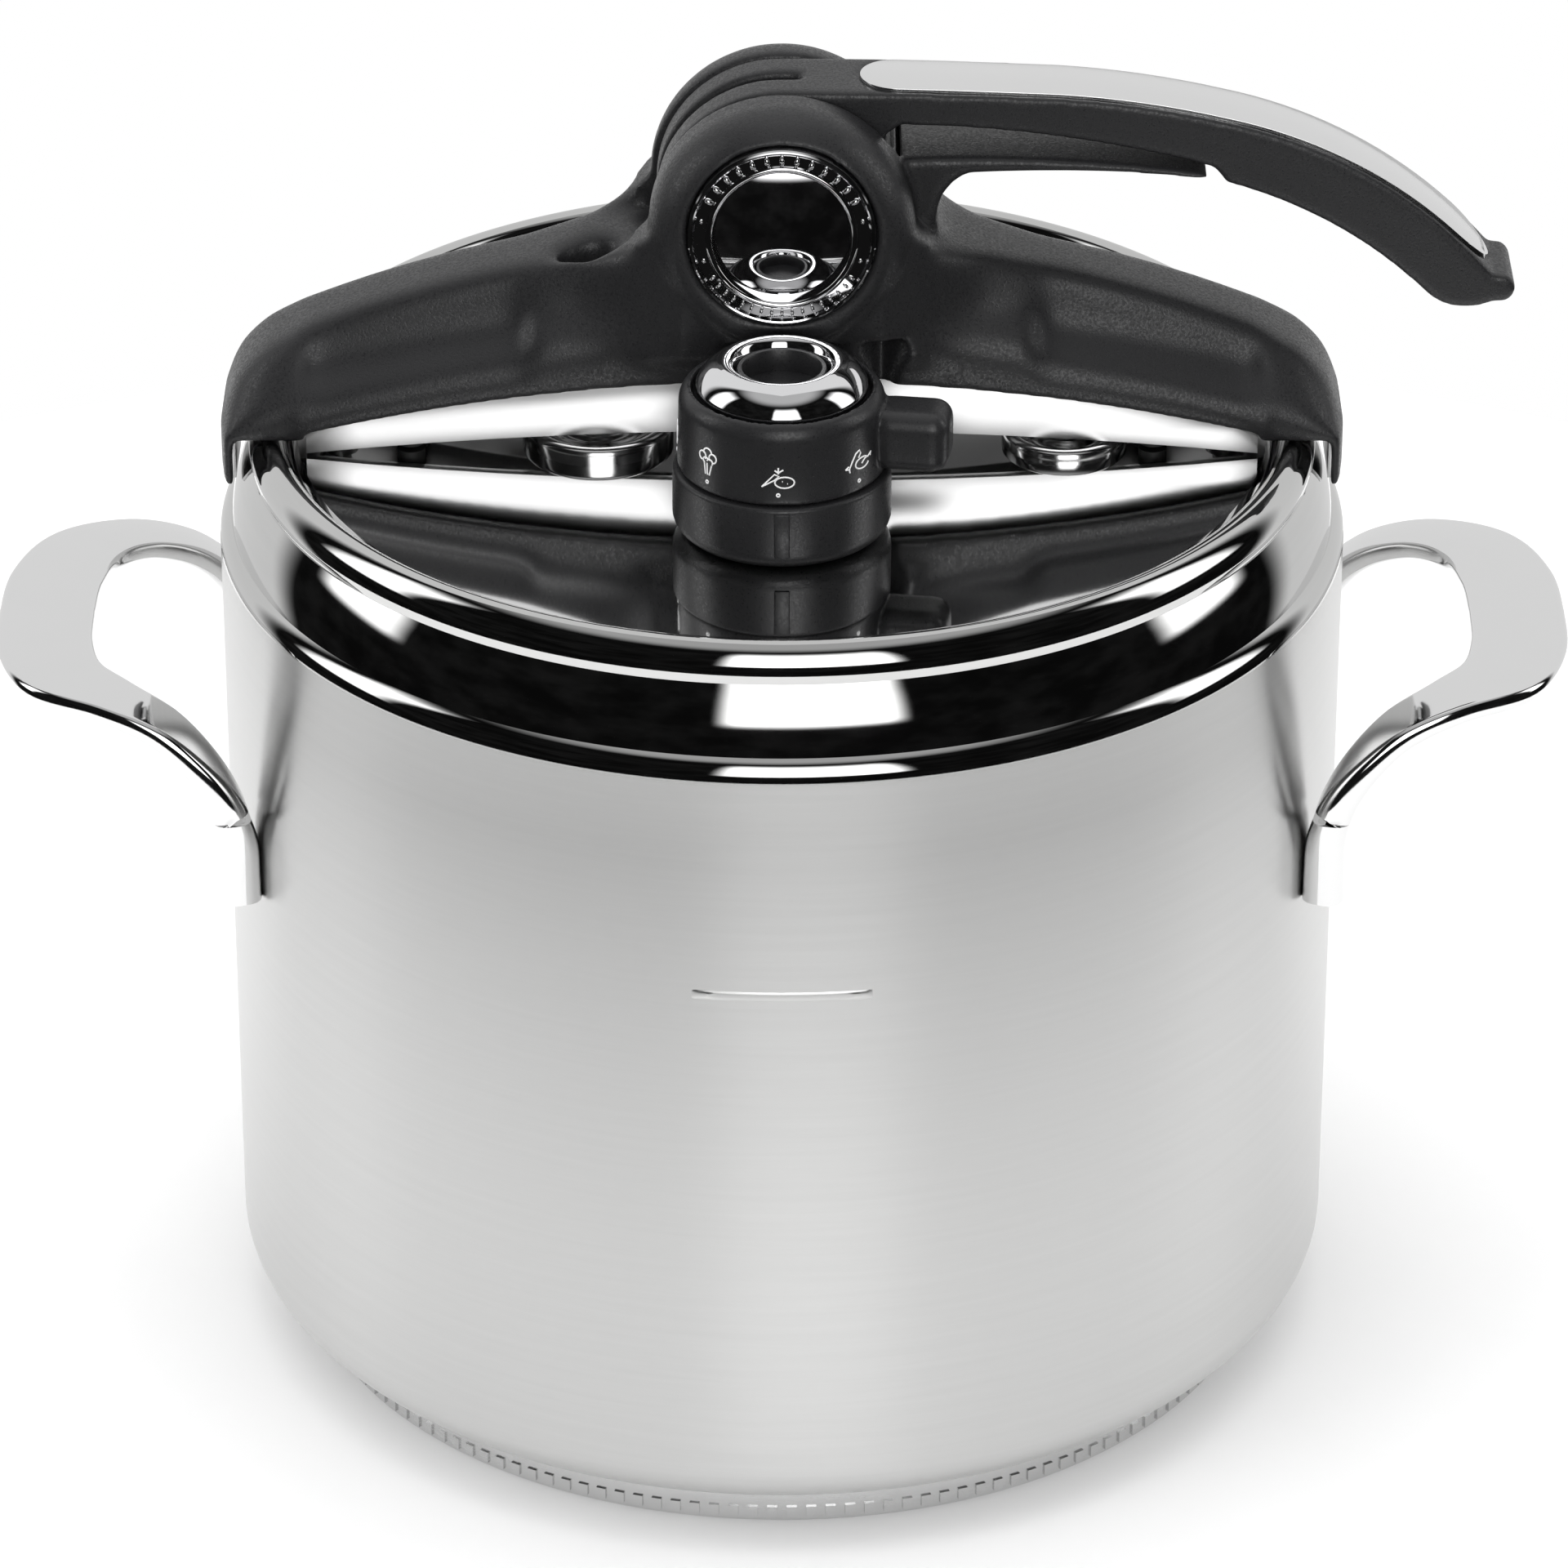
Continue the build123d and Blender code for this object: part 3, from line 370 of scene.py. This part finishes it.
def draw_out(name, rings):
    """A bar: the first ring's face is extruded from station to station."""
    piece = wire(name, rings[0])
    start_edit(piece)
    bpy.ops.mesh.select_all(action="SELECT")
    bpy.ops.mesh.edge_face_add()
    for ring in rings[1:]:
        bpy.ops.mesh.extrude_region_move()
        work = bmesh.from_edit_mesh(piece.data)
        face = next(f for f in work.faces if f.select)
        for v, place in zip(sorted(face.verts, key=lambda v: v.index), ring):
            v.co = Vector(place) * MM
        bmesh.update_edit_mesh(piece.data)
    bpy.ops.mesh.select_all(action="SELECT")
    bpy.ops.mesh.normals_make_consistent(inside=False)
    end_edit()
    return piece


FOOT_Y, FOOT_TOP = 42.5, 131      # beyond and below these the strap lies flat on the wall
EDGE_SHARE = 0.36                 # edge radius as a share of the strap's thickness
half = spline(STRAP, 8)
far_half = [[x, -y, z, w, t, -a] for x, y, z, w, t, a in reversed(half[1:])]
path = far_half + half
rings = []
for i, (x, y, z, width, thick, bearing) in enumerate(path):
    before, after = Vector(path[max(i - 1, 0)][:3]), Vector(path[min(i + 1, len(path) - 1)][:3])
    across = Vector((cos(radians(bearing)), sin(radians(bearing)), 0))
    along = (after - before).normalized()
    up = along.cross(across).normalized()
    up = up if up.z >= 0 else -up
    if abs(y) > FOOT_Y and z < FOOT_TOP:
        up = Vector((sin(radians(bearing)), -cos(radians(bearing)), 0)) * (1 if y > 0 else -1)
    shape = rounded(width, thick, min(thick, width) * EDGE_SHARE)
    rings.append([tuple(Vector((x, y, z)) + across * u + up * v) for u, v in shape])
mirror_steel = metal("mirror_steel", (0.80, 0.80, 0.80), 0.07, spread=0.03, stain=0.05, bump=0.0004)
for side, name in ((1, "right_strap"), (-1, "left_strap")):
    strap = draw_out(name, [[(side * x, y, z) for x, y, z in ring] for ring in rings])
    smooth(strap, 50)
    dress(strap, mirror_steel)
    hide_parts("handle_right" if side > 0 else "handle_left")
    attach(strap, "pot")

# ---- Lid and its gasket ------------------------------------------------------------------
# A flat disc of polished steel, stepped down at the edge under the pot's lip; the silicone
# gasket is stretched over the step and seals upwards. Both come straight from the frame.
lid_steel = metal("lid_steel", (0.80, 0.80, 0.80), 0.045, spread=0.03, stain=0.04)
dress(nodes["lid_disc"], lid_steel)


def moulded(name, tone, rough, grain, size, spread=0.1, specular=0.5, cloud=0.2):
    """A moulded material with a fine skin grain: size is how many grains fit in a metre."""
    material = bpy.data.materials.new(name)
    material.use_nodes = True
    tree = material.node_tree
    shader = tree.nodes["Principled BSDF"]
    shader.inputs["Specular IOR Level"].default_value = specular
    vector = coordinates(tree)
    fine, broad = noise(tree, vector, size, 3.0, 0.65), noise(tree, vector, 40.0, 3.0)
    shade = tree.nodes.new("ShaderNodeMix")
    shade.data_type = "RGBA"
    tree.links.new(broad, shade.inputs["Factor"])
    shade.inputs["A"].default_value = (*[c * (1 - cloud) for c in tone], 1)
    shade.inputs["B"].default_value = (*[c * (1 + cloud) for c in tone], 1)
    tree.links.new(shade.outputs["Result"], shader.inputs["Base Color"])
    tree.links.new(ramp(tree, fine, 0.3, 0.7, rough - spread / 2, rough + spread / 2),
                   shader.inputs["Roughness"])
    relief = tree.nodes.new("ShaderNodeBump")
    relief.inputs["Distance"].default_value = grain * MM
    tree.links.new(fine, relief.inputs["Height"])
    tree.links.new(relief.outputs["Normal"], shader.inputs["Normal"])
    return material


silicone = moulded("silicone", (0.34, 0.34, 0.34), 0.5, 0.01, 1500)
dress(nodes["lid_gasket"], silicone)
for name in ("valve_seal", "indicator_seal"):
    dress(nodes[name], silicone)

# ---- Stud, lift plate, bracket and pin ---------------------------------------------------
# Turned and pressed steel: the stud through the lid, the slotted plate that hangs it on the
# lever's eccentric, and the U bracket with the pivot pin. Mostly hidden in the cover.
blasted_steel = metal("blasted_steel", (0.60, 0.60, 0.60), 0.32, spread=0.1, stain=0.1, bump=0.004)
for name in ("centre_stud", "stud_washer", "stud_nut", "lift_plate", "stud_pin", "pivot_bracket",
             "pivot_pin", "pin_clip", "cover_screws", "lever_cam", "relief_nut", "valve_nut"):
    dress(nodes[name], blasted_steel)

# ---- Pressure indicator and safety valve -------------------------------------------------
# Two dished chrome discs on the lid under the arms: on the left the sealed indicator pin
# that blocks the lever, on the right the spring-loaded safety valve. Both turned in rings.
chrome = metal("bright_chrome", (0.82, 0.82, 0.83), 0.035, spread=0.02, stain=0.03)
brass = metal("turned_brass", (0.72, 0.55, 0.28), 0.22, spread=0.08, stain=0.15, bump=0.002)
LID_TOP = 196.7
STOP, RELIEF = (-36.5, -6.0), (56.0, -8.0)


def dished(outer, hub, low, high):
    """Upper side of a dished disc: rounded edge, three shallow rings, and a hub."""
    rim = [(outer, low)] + arc((outer, low + 1.6), (outer - 0.5, high - 0.3), (outer - 1.5, high), 5)
    rings = []
    for i in range(24):
        r = outer - 2.0 - (outer - 2.0 - hub) * (i + 1) / 24
        rings.append((r, high - 1.5 * sin(pi * (i + 1) / 25) + 0.22 * cos((outer - r) * 2 * pi / 2.1)))
    return rim + rings


stop_cup = lathe("stop_cup", [(3.1, LID_TOP)] + dished(15.0, 4.4, LID_TOP, 200.2) + [(3.1, 200.2)],
                 STOP, angle=60)
dished_steel = metal("dished_steel", (0.72, 0.72, 0.72), 0.15, spread=0.04, stain=0.04)
dress(stop_cup, dished_steel)
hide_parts("interlock_cup")
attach(stop_cup, "lid")

relief_cup = lathe("relief_cup", [(2.5, 188.4), (6, 188.4), (6, LID_TOP)]
                   + dished(12.5, 5.6, LID_TOP, 199.4)
                   + [(5.4, 199.4), (5.4, 206.0), (4.8, 206.6), (1.9, 206.6), (1.9, 205.4),
                      (4.6, 205.4), (4.6, 198.0), (2.5, 198.0)], RELIEF, angle=60)
dress(relief_cup, dished_steel)
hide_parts("relief_body")
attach(relief_cup, "lid")

dress(nodes["relief_plunger"], brass)
signal = moulded("signal_pin", (0.62, 0.62, 0.62), 0.25, 0.002, 900)
dress(nodes["indicator_pin"], signal)

# ---- Beam and its rubber posts -----------------------------------------------------------
# An arched channel of blasted steel sheet under the cover. Its end tongues rest over the
# pot's lip with small hooks outside it, and four rubber posts press on the lid.


def bevelled_copy(node, name, width, angle=35):
    """A copy of a frame node, merged, with its sharp edges rounded over."""
    piece = nodes[node].copy()
    piece.data = nodes[node].data.copy()
    piece.name = name
    for key in list(piece.keys()):
        del piece[key]
    bpy.context.scene.collection.objects.link(piece)
    piece.parent = None
    start_edit(piece)
    bpy.ops.mesh.select_all(action="SELECT")
    bpy.ops.mesh.customdata_custom_splitnormals_clear()
    bpy.ops.mesh.remove_doubles(threshold=1e-6)
    bpy.ops.mesh.dissolve_limited(angle_limit=radians(0.6))
    end_edit()
    if width:
        apply(piece, "BEVEL", width=width * MM, segments=2, limit_method="ANGLE",
              angle_limit=radians(angle), use_clamp_overlap=True)
    return piece


beam = bevelled_copy("bridge_beam", "beam", 0.45)
smooth(beam, 30)
beam_steel = metal("beam_steel", (0.66, 0.66, 0.66), 0.30, spread=0.03, stain=0.02)
dress(beam, beam_steel)
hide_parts("bridge_beam")
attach(beam, "bridge")
rubber = moulded("black_rubber", (0.02, 0.02, 0.02), 0.6, 0.02, 1200)
dress(nodes["beam_buffers"], rubber)

# ---- Bridge cover ------------------------------------------------------------------------
# Black phenolic moulding with a fine grain: two shouldered arms, two round cheeks, and the
# guard tongue under the lever. Every inside corner runs in a soft fillet, and a long hole in
# the left arm shows the indicator pin.
black_grain = moulded("black_grain", (0.014, 0.014, 0.015), 0.40, 0.07, 1900, spread=0.30)


def remoulded(node, name, voxel, factor, times):
    """A copy of a frame node with every edge and corner softened, as a moulding has them."""
    piece = bevelled_copy(node, name, 0)
    apply(piece, "REMESH", mode="VOXEL", voxel_size=voxel * MM, use_smooth_shade=True)
    apply(piece, "SMOOTH", factor=factor, iterations=times)
    return piece


cover = remoulded("bridge_cover", "cover", 0.62, 0.5, 20)
# The arms are blended more than the rest, except along their lower edge.
ARM_EDGE, ARM_EDGE_R, CHEEK_X, GUARD_Z = 214.5, 390, 26, 243
shoulders = cover.vertex_groups.new(name="shoulders")
for vertex in cover.data.vertices:
    out, level = abs(vertex.co.x) / MM, vertex.co.z / MM
    above_edge = level - (ARM_EDGE - out ** 2 / (2 * ARM_EDGE_R))
    past_edge, past_cheek = (above_edge - 3) / 6, (out - CHEEK_X) / 6
    share = min(1, max(0, past_edge)) * min(1, max(0, past_cheek)) * (level < GUARD_Z)
    shoulders.add([vertex.index], share, "REPLACE")
apply(cover, "SMOOTH", factor=0.5, iterations=180, vertex_group="shoulders")
smooth(cover, 60)
dress(cover, black_grain)
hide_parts("bridge_cover")
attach(cover, "bridge")

rear_cap = bevelled_copy("rear_cap", "rear_disc", 0.3)
smooth(rear_cap, 40)
dress(rear_cap, black_grain)
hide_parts("rear_cap")
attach(rear_cap, "bridge")

# ---- Lever -------------------------------------------------------------------------------
# Black moulding with softly rounded edges, its round drum slit for the lift plate, and a
# polished steel strip let into its top. It lifts and swings over to the left.
lever = remoulded("lever_body", "lever", 0.55, 0.5, 22)
smooth(lever, 60)
dress(lever, black_grain)
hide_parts("lever_body")
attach(lever, "lever")

inlay = bevelled_copy("lever_inlay", "inlay", 0.25, 50)
smooth(inlay, 35)
inlay_steel = metal("inlay_steel", (0.80, 0.80, 0.80), 0.16, spread=0.05, stain=0.04, bump=0.0006)
dress(inlay, inlay_steel)
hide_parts("lever_inlay")
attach(inlay, "lever")

# ---- Medallion ---------------------------------------------------------------------------
# Chromed disc over the front end of the pin: a domed mirror inside a thin raised ring, and
# a sunk band with rows of small raised bars. It leans back with the cheek.
FACE_TILT, FACE_Y, FACE_Z = 2.0, -26.0, 248.8
DOME_R, DOME_RISE, DOME_FALL = 13.2, 0.9, 0.0091
BEAD_R, BEAD_FOOT = 15.95, 0.25
disc = [(0, -3.0), (18.3, -3.0), (18.3, 0.4)] + arc((18.3, 0.4), (18.0, 0.95), (17.4, 0.9), 4)
disc += [(17.0, 0.25), (14.9, 0.25)] + arc((14.9, 0.6), (14.2, 1.05), (13.5, 0.6), 8)
for a in range(0, 91, 9):
    r = DOME_R * cos(radians(a))
    disc.append((r, DOME_RISE - DOME_FALL * r ** 2))
medallion = lathe("chrome_disc", disc, steps=128, angle=30)
bars = []
for first, last, count, size in ((28, 152, 13, (1.0, 1.7)), (212, 328, 17, (0.62, 1.25))):
    for i in range(count):
        bearing = radians(first + (last - first) * i / (count - 1))
        bars.append((bearing, size))
bars += [(radians(a), (0.7, 0.7)) for a in (12, 168, 198, 342)]
for bearing, (wide, tall) in bars:
    bpy.ops.mesh.primitive_uv_sphere_add(segments=12, ring_count=8, radius=1)
    bead = bpy.context.object
    foot = (BEAD_R * MM * cos(bearing), BEAD_R * MM * sin(bearing), BEAD_FOOT * MM)
    bead.data.transform(Matrix.Translation(foot) @ Matrix.Rotation(bearing, 4, "Z")
                        @ Matrix.Diagonal((tall * 0.58 * MM, wide * 0.58 * MM, 0.66 * MM, 1)))
    smooth(bead, 80)
    bead.name = "medallion_bead"
beads = [o for o in bpy.context.scene.objects if o.name.startswith("medallion_bead")]
bpy.ops.object.select_all(action="DESELECT")
for bead in beads + [medallion]:
    bead.select_set(True)
bpy.context.view_layer.objects.active = medallion
bpy.ops.object.join()
lean = Matrix.Rotation(radians(90 - FACE_TILT), 4, "X")
medallion.data.transform(Matrix.Translation((0, FACE_Y * MM, FACE_Z * MM)) @ lean)
dress(medallion, chrome)
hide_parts("medallion")
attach(medallion, "bridge")

# ---- Pressure selector -------------------------------------------------------------------
# A fixed collar screwed to the lid, a dial with a thumb tab that turns on it, and a chromed
# weight in the dial's mouth that lifts to let steam out. Line pictures mark the settings.
VALVE = (0.0, -46.3)
collar_profile = [(5.05, 197.3), (14, 197.3), (14, 197.0)]
collar_profile += arc((17.6, 197.0), (20.3, 198.2), (21.3, 200.8), 8)
collar_profile += [(21.2, 209.4)] + arc((21.2, 209.4), (21.0, 210.1), (20.4, 210.4), 4)
collar_profile += [(12, 210.4), (12, 221.4), (6.5, 221.4), (6.5, 212.2), (5.05, 212.2)]
collar = lathe("collar", collar_profile, VALVE, steps=128)
bpy.ops.mesh.primitive_cube_add(size=1)
rib = bpy.context.object
rib.data.transform(Matrix.Translation((0, (VALVE[1] - 21.15) * MM, 204.9 * MM))
                   @ Matrix.Diagonal((3.0 * MM, 1.0 * MM, 9.4 * MM, 1)))
apply(rib, "BEVEL", width=0.25 * MM, segments=2)
bpy.ops.object.select_all(action="DESELECT")
rib.select_set(True)
collar.select_set(True)
bpy.context.view_layer.objects.active = collar
bpy.ops.object.join()
smooth(collar, 35)
black_satin = moulded("black_satin", (0.014, 0.014, 0.015), 0.36, 0.03, 2200, spread=0.2)
dress(collar, black_satin)
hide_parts("valve_base")
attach(collar, "lid")

dial_profile = [(12.1, 210.8), (20.2, 210.8), (20.3, 211.3), (20.1, 219.0), (20.0, 223.8)]
dial_profile += arc((20.0, 223.8), (19.35, 226.0), (18.2, 227.1), 8)
dial_profile += [(17.7, 227.2), (17.45, 226.8), (17.45, 224.4), (2.9, 224.4), (2.9, 221.9), (12.1, 221.9)]
dial = lathe("dial", dial_profile, VALVE, steps=128)
bpy.ops.mesh.primitive_cube_add(size=1)
tab = bpy.context.object
tab.name = "thumb_tab"
TAB_Z, TAB_BEARING, TAB_OUT, TAB_SIZE = 218.2, -8, 25.4, (15.2, 12.5, 12.4)
tab.data.transform(Matrix.Translation((VALVE[0] * MM, VALVE[1] * MM, TAB_Z * MM))
                   @ Matrix.Rotation(radians(TAB_BEARING), 4, "Z")
                   @ Matrix.Translation((TAB_OUT * MM, 0, 0))
                   @ Matrix.Diagonal((*[size * MM for size in TAB_SIZE], 1)))
apply(tab, "BEVEL", width=3.5 * MM, segments=6)
apply(dial, "BOOLEAN", operation="UNION", object=tab, solver="EXACT")
bpy.data.objects.remove(tab)
apply(dial, "REMESH", mode="VOXEL", voxel_size=0.36 * MM, use_smooth_shade=True)
apply(dial, "SMOOTH", factor=0.5, iterations=12)
smooth(dial, 60)
dress(dial, black_satin)
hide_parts("valve_dial")
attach(dial, "dial")

ring = [(8.85, 224.9), (15.5, 224.9)] + arc((15.5, 224.9), (16.5, 226.0), (16.7, 227.4), 8)
ring += arc((16.7, 227.4), (14.7, 230.2), (11.7, 231.9), 12)
ring += arc((11.7, 231.9), (10.5, 232.1), (9.5, 231.3), 6) + [(9.0, 230.4), (8.85, 229.6)]
cap = lathe("weight_ring", ring, VALVE, steps=128, angle=60)
dress(cap, chrome)
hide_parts("valve_cap")
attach(cap, "vent")
tube = lathe("steam_tube", [(7.6, 225.0), (8.7, 225.0), (8.7, 230.4), (8.5, 230.7), (7.8, 230.7),
                            (7.6, 230.4)], VALVE)
dress(tube, black_satin)
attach(tube, "vent")
dress(nodes["valve_needle"], black_satin)
dress(nodes["valve_stem"], brass)

# Line pictures on the dial, drawn in millimetres about the middle of each mark.
CIRCLE = [(cos(2 * pi * i / 20), sin(2 * pi * i / 20)) for i in range(21)]


def loop(x, y, rx, ry, first=0.0, last=1.0):
    """Part of an ellipse, as shares of a turn."""
    return [(x + rx * cos(2 * pi * t), y + ry * sin(2 * pi * t))
            for t in (first + (last - first) * i / 16 for i in range(17))]


broccoli = [loop(-1.1, 1.0, 0.75, 0.75, -0.1, 0.75), loop(0, 1.75, 0.85, 0.75, 0.0, 0.55),
            loop(1.1, 1.0, 0.75, 0.75, -0.25, 0.6), loop(-0.35, 0.35, 0.6, 0.5, 0.1, 0.6),
            loop(0.5, 0.2, 0.6, 0.5, -0.1, 0.45), [(-0.75, 0.2), (-0.4, -2.0)],
            [(-0.1, 0.0), (0.0, -1.6), (0.1, -2.0)], [(0.9, -0.2), (0.45, -2.0)]]
carrot = [[(-2.6, -1.9), (-0.6, 0.3), (0.1, 0.0), (-0.6, -0.7), (-2.6, -1.9)],
          [(0.0, 0.4), (0.0, 1.5)], [(0.0, 0.6), (0.8, 1.1)], [(0.0, 0.6), (-0.6, 1.0)],
          loop(1.0, -1.1, 1.55, 0.95), [(0.6, -0.9), (0.7, -0.9)], [(1.4, -1.3), (1.5, -1.3)]]
fish = [loop(0.8, -0.4, 1.6, 0.95, 0.1, 0.95), [(2.1, 0.1), (3.0, 0.7), (2.8, 0.1)],
        [(-2.9, -0.6), (-2.1, -0.7), (-1.5, 0.4), (-0.7, 1.6), (0.1, 2.0), (0.4, 1.4), (-0.1, 0.7)],
        [(-2.9, -0.6), (-2.2, -0.2)], [(-2.1, -0.7), (-2.0, -1.3)], [(0.6, -0.5), (1.4, 0.1), (1.9, 0.2)]]
grains = [loop(-0.9, 0.6, 0.35, 0.9), loop(0.2, 1.0, 0.35, 0.9), loop(1.1, 0.4, 0.35, 0.9),
          [(-1.6, -0.8), (1.6, -0.8), (1.0, -1.8), (-1.0, -1.8), (-1.6, -0.8)]]
print_white = moulded("print_white", (0.88, 0.88, 0.88), 0.45, 0.002, 2000)
PICTURE, STROKE, DOT_R = 1.22, 0.17, 0.25    # scale of the pictures, half stroke, dot radius
PICTURE_Z, DOT_Z, FACE_R = 217.2, 213.2, 20.12
strokes = []
marks_at = ((-45, broccoli), (-2, carrot), (47, fish), (-90, grains))
for bearing, picture in marks_at:
    for line in picture:
        strokes.append((bearing, PICTURE_Z, line))
for bearing, picture in marks_at:
    strokes.append((bearing, DOT_Z, [(DOT_R * x, DOT_R * y) for x, y in CIRCLE]))
for bearing, level, line in strokes:
    curve = bpy.data.curves.new("mark", "CURVE")
    curve.dimensions = "3D"
    curve.bevel_depth = STROKE * MM
    curve.bevel_resolution = 1
    path = curve.splines.new("POLY")
    path.points.add(len(line) - 1)
    for point, (u, v) in zip(path.points, line):
        z = level + PICTURE * v
        radius = FACE_R + (219 - z) * 0.02
        a = radians(bearing) + PICTURE * u / radius
        point.co = ((VALVE[0] + radius * sin(a)) * MM, (VALVE[1] - radius * cos(a)) * MM, z * MM, 1)
    mark = bpy.data.objects.new("mark", curve)
    bpy.context.scene.collection.objects.link(mark)
bpy.ops.object.select_all(action="DESELECT")
marks = [o for o in bpy.context.scene.objects if o.name.startswith("mark")]
for mark in marks:
    mark.select_set(True)
bpy.context.view_layer.objects.active = marks[0]
bpy.ops.object.convert(target="MESH")
bpy.ops.object.join()
pictures = bpy.context.object
pictures.name = "dial_pictures"
dress(pictures, print_white)
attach(pictures, "dial")

# ---- Floor, light and camera -------------------------------------------------------------
# A pale floor, a soft box in front and one at each side, and a pale wall behind.
bpy.ops.mesh.primitive_circle_add(vertices=128, radius=0.45, fill_type="NGON")
floor = bpy.context.object
floor.name = "floor"
floor_paint = moulded("floor_paint", (0.93, 0.93, 0.93), 0.8, 0.005, 400, specular=0.1, cloud=0.01)
dress(floor, floor_paint)

world = bpy.data.worlds.new("studio")
bpy.context.scene.world = world
world.use_nodes = True
tree = world.node_tree
where = tree.nodes.new("ShaderNodeTexCoord")
direction = tree.nodes.new("ShaderNodeSeparateXYZ")
tree.links.new(where.outputs["Generated"], direction.inputs[0])
east, north, up = direction.outputs
bearing_east = maths(tree, "ARCTAN2", east, maths(tree, "MULTIPLY", north, -1.0))
azimuth = maths(tree, "ABSOLUTE", bearing_east)


def band(around, low, high, soft):
    """One between two azimuths in degrees, with soft edges."""
    rise = ramp(tree, around, radians(low - soft), radians(low + soft))
    fall = ramp(tree, around, radians(high - soft), radians(high + soft), 1.0, 0.0)
    return maths(tree, "MULTIPLY", rise, fall)


FRONT_BOX, SIDE_BOX, BACK_WALL = (-11, 23), (84, 106), (120, 200)   # from and to, in degrees
FRONT_GLOW, SIDE_GLOW, BACK_GLOW, TOP_GLOW = 3.0, 2.2, 0.80, 0.5
lifted = ramp(tree, up, 0.04, 0.12)
below_top = ramp(tree, up, 0.60, 0.80, 1.0, 0.0)
strip = maths(tree, "MULTIPLY", lifted, below_top)
front = maths(tree, "MULTIPLY", band(bearing_east, *FRONT_BOX, 3), strip)
sides = maths(tree, "MULTIPLY", band(azimuth, *SIDE_BOX, 4), strip)
back = band(azimuth, *BACK_WALL, 6)
top = ramp(tree, up, 0.80, 0.95)
dim = noise(tree, where.outputs["Generated"], 5.0, 3.0, 0.6)
glow = maths(tree, "ADD", maths(tree, "MULTIPLY", front, FRONT_GLOW),
             maths(tree, "MULTIPLY", sides, SIDE_GLOW))
glow = maths(tree, "ADD", glow, maths(tree, "MULTIPLY", back, BACK_GLOW))
glow = maths(tree, "MAXIMUM", maths(tree, "MAXIMUM", glow, maths(tree, "MULTIPLY", top, TOP_GLOW)),
             ramp(tree, dim, 0.35, 0.75, 0.004, 0.012))
seen = tree.nodes.new("ShaderNodeLightPath")
mix = tree.nodes.new("ShaderNodeMix")
tree.links.new(maths(tree, "MAXIMUM", seen.outputs["Is Camera Ray"], seen.outputs["Is Diffuse Ray"]),
               mix.inputs["Factor"])
tree.links.new(glow, mix.inputs["A"])
mix.inputs["B"].default_value = 1.0
background = tree.nodes["Background"]
tree.links.new(mix.outputs["Result"], background.inputs["Strength"])
background.inputs["Color"].default_value = (1, 1, 1, 1)


def softbox(name, place, aim, size, watts):
    """A square area light, hidden from the camera and from reflections."""
    light = bpy.data.lights.new(name, "AREA")
    light.energy = watts
    light.size = size
    lamp = bpy.data.objects.new(name, light)
    bpy.context.scene.collection.objects.link(lamp)
    lamp.location = place
    lamp.rotation_euler = (Vector(aim) - Vector(place)).to_track_quat("-Z", "Y").to_euler()
    lamp.visible_camera = False
    lamp.visible_glossy = False
    return lamp


softbox("overhead", (0.0, 0.1, 1.6), (0, 0, 0.1), 1.4, 9)
softbox("left_key", (-1.1, -0.6, 1.1), (0, 0, 0.1), 0.8, 3)

CAMERA_UP, CAMERA_FAR, AIM_Z = radians(28.587), 1.6224, 0.11414
lens = bpy.data.cameras.new("camera")
lens.sensor_width = 36
lens.lens = 182.2
lens.shift_x = 2.5 / 1920
camera = bpy.data.objects.new("camera", lens)
bpy.context.scene.collection.objects.link(camera)
camera.location = (0, -CAMERA_FAR * cos(CAMERA_UP), AIM_Z + CAMERA_FAR * sin(CAMERA_UP))
camera.rotation_euler = (pi / 2 - CAMERA_UP, 0, 0)
bpy.context.scene.camera = camera
bpy.context.scene.view_settings.view_transform = "Standard"
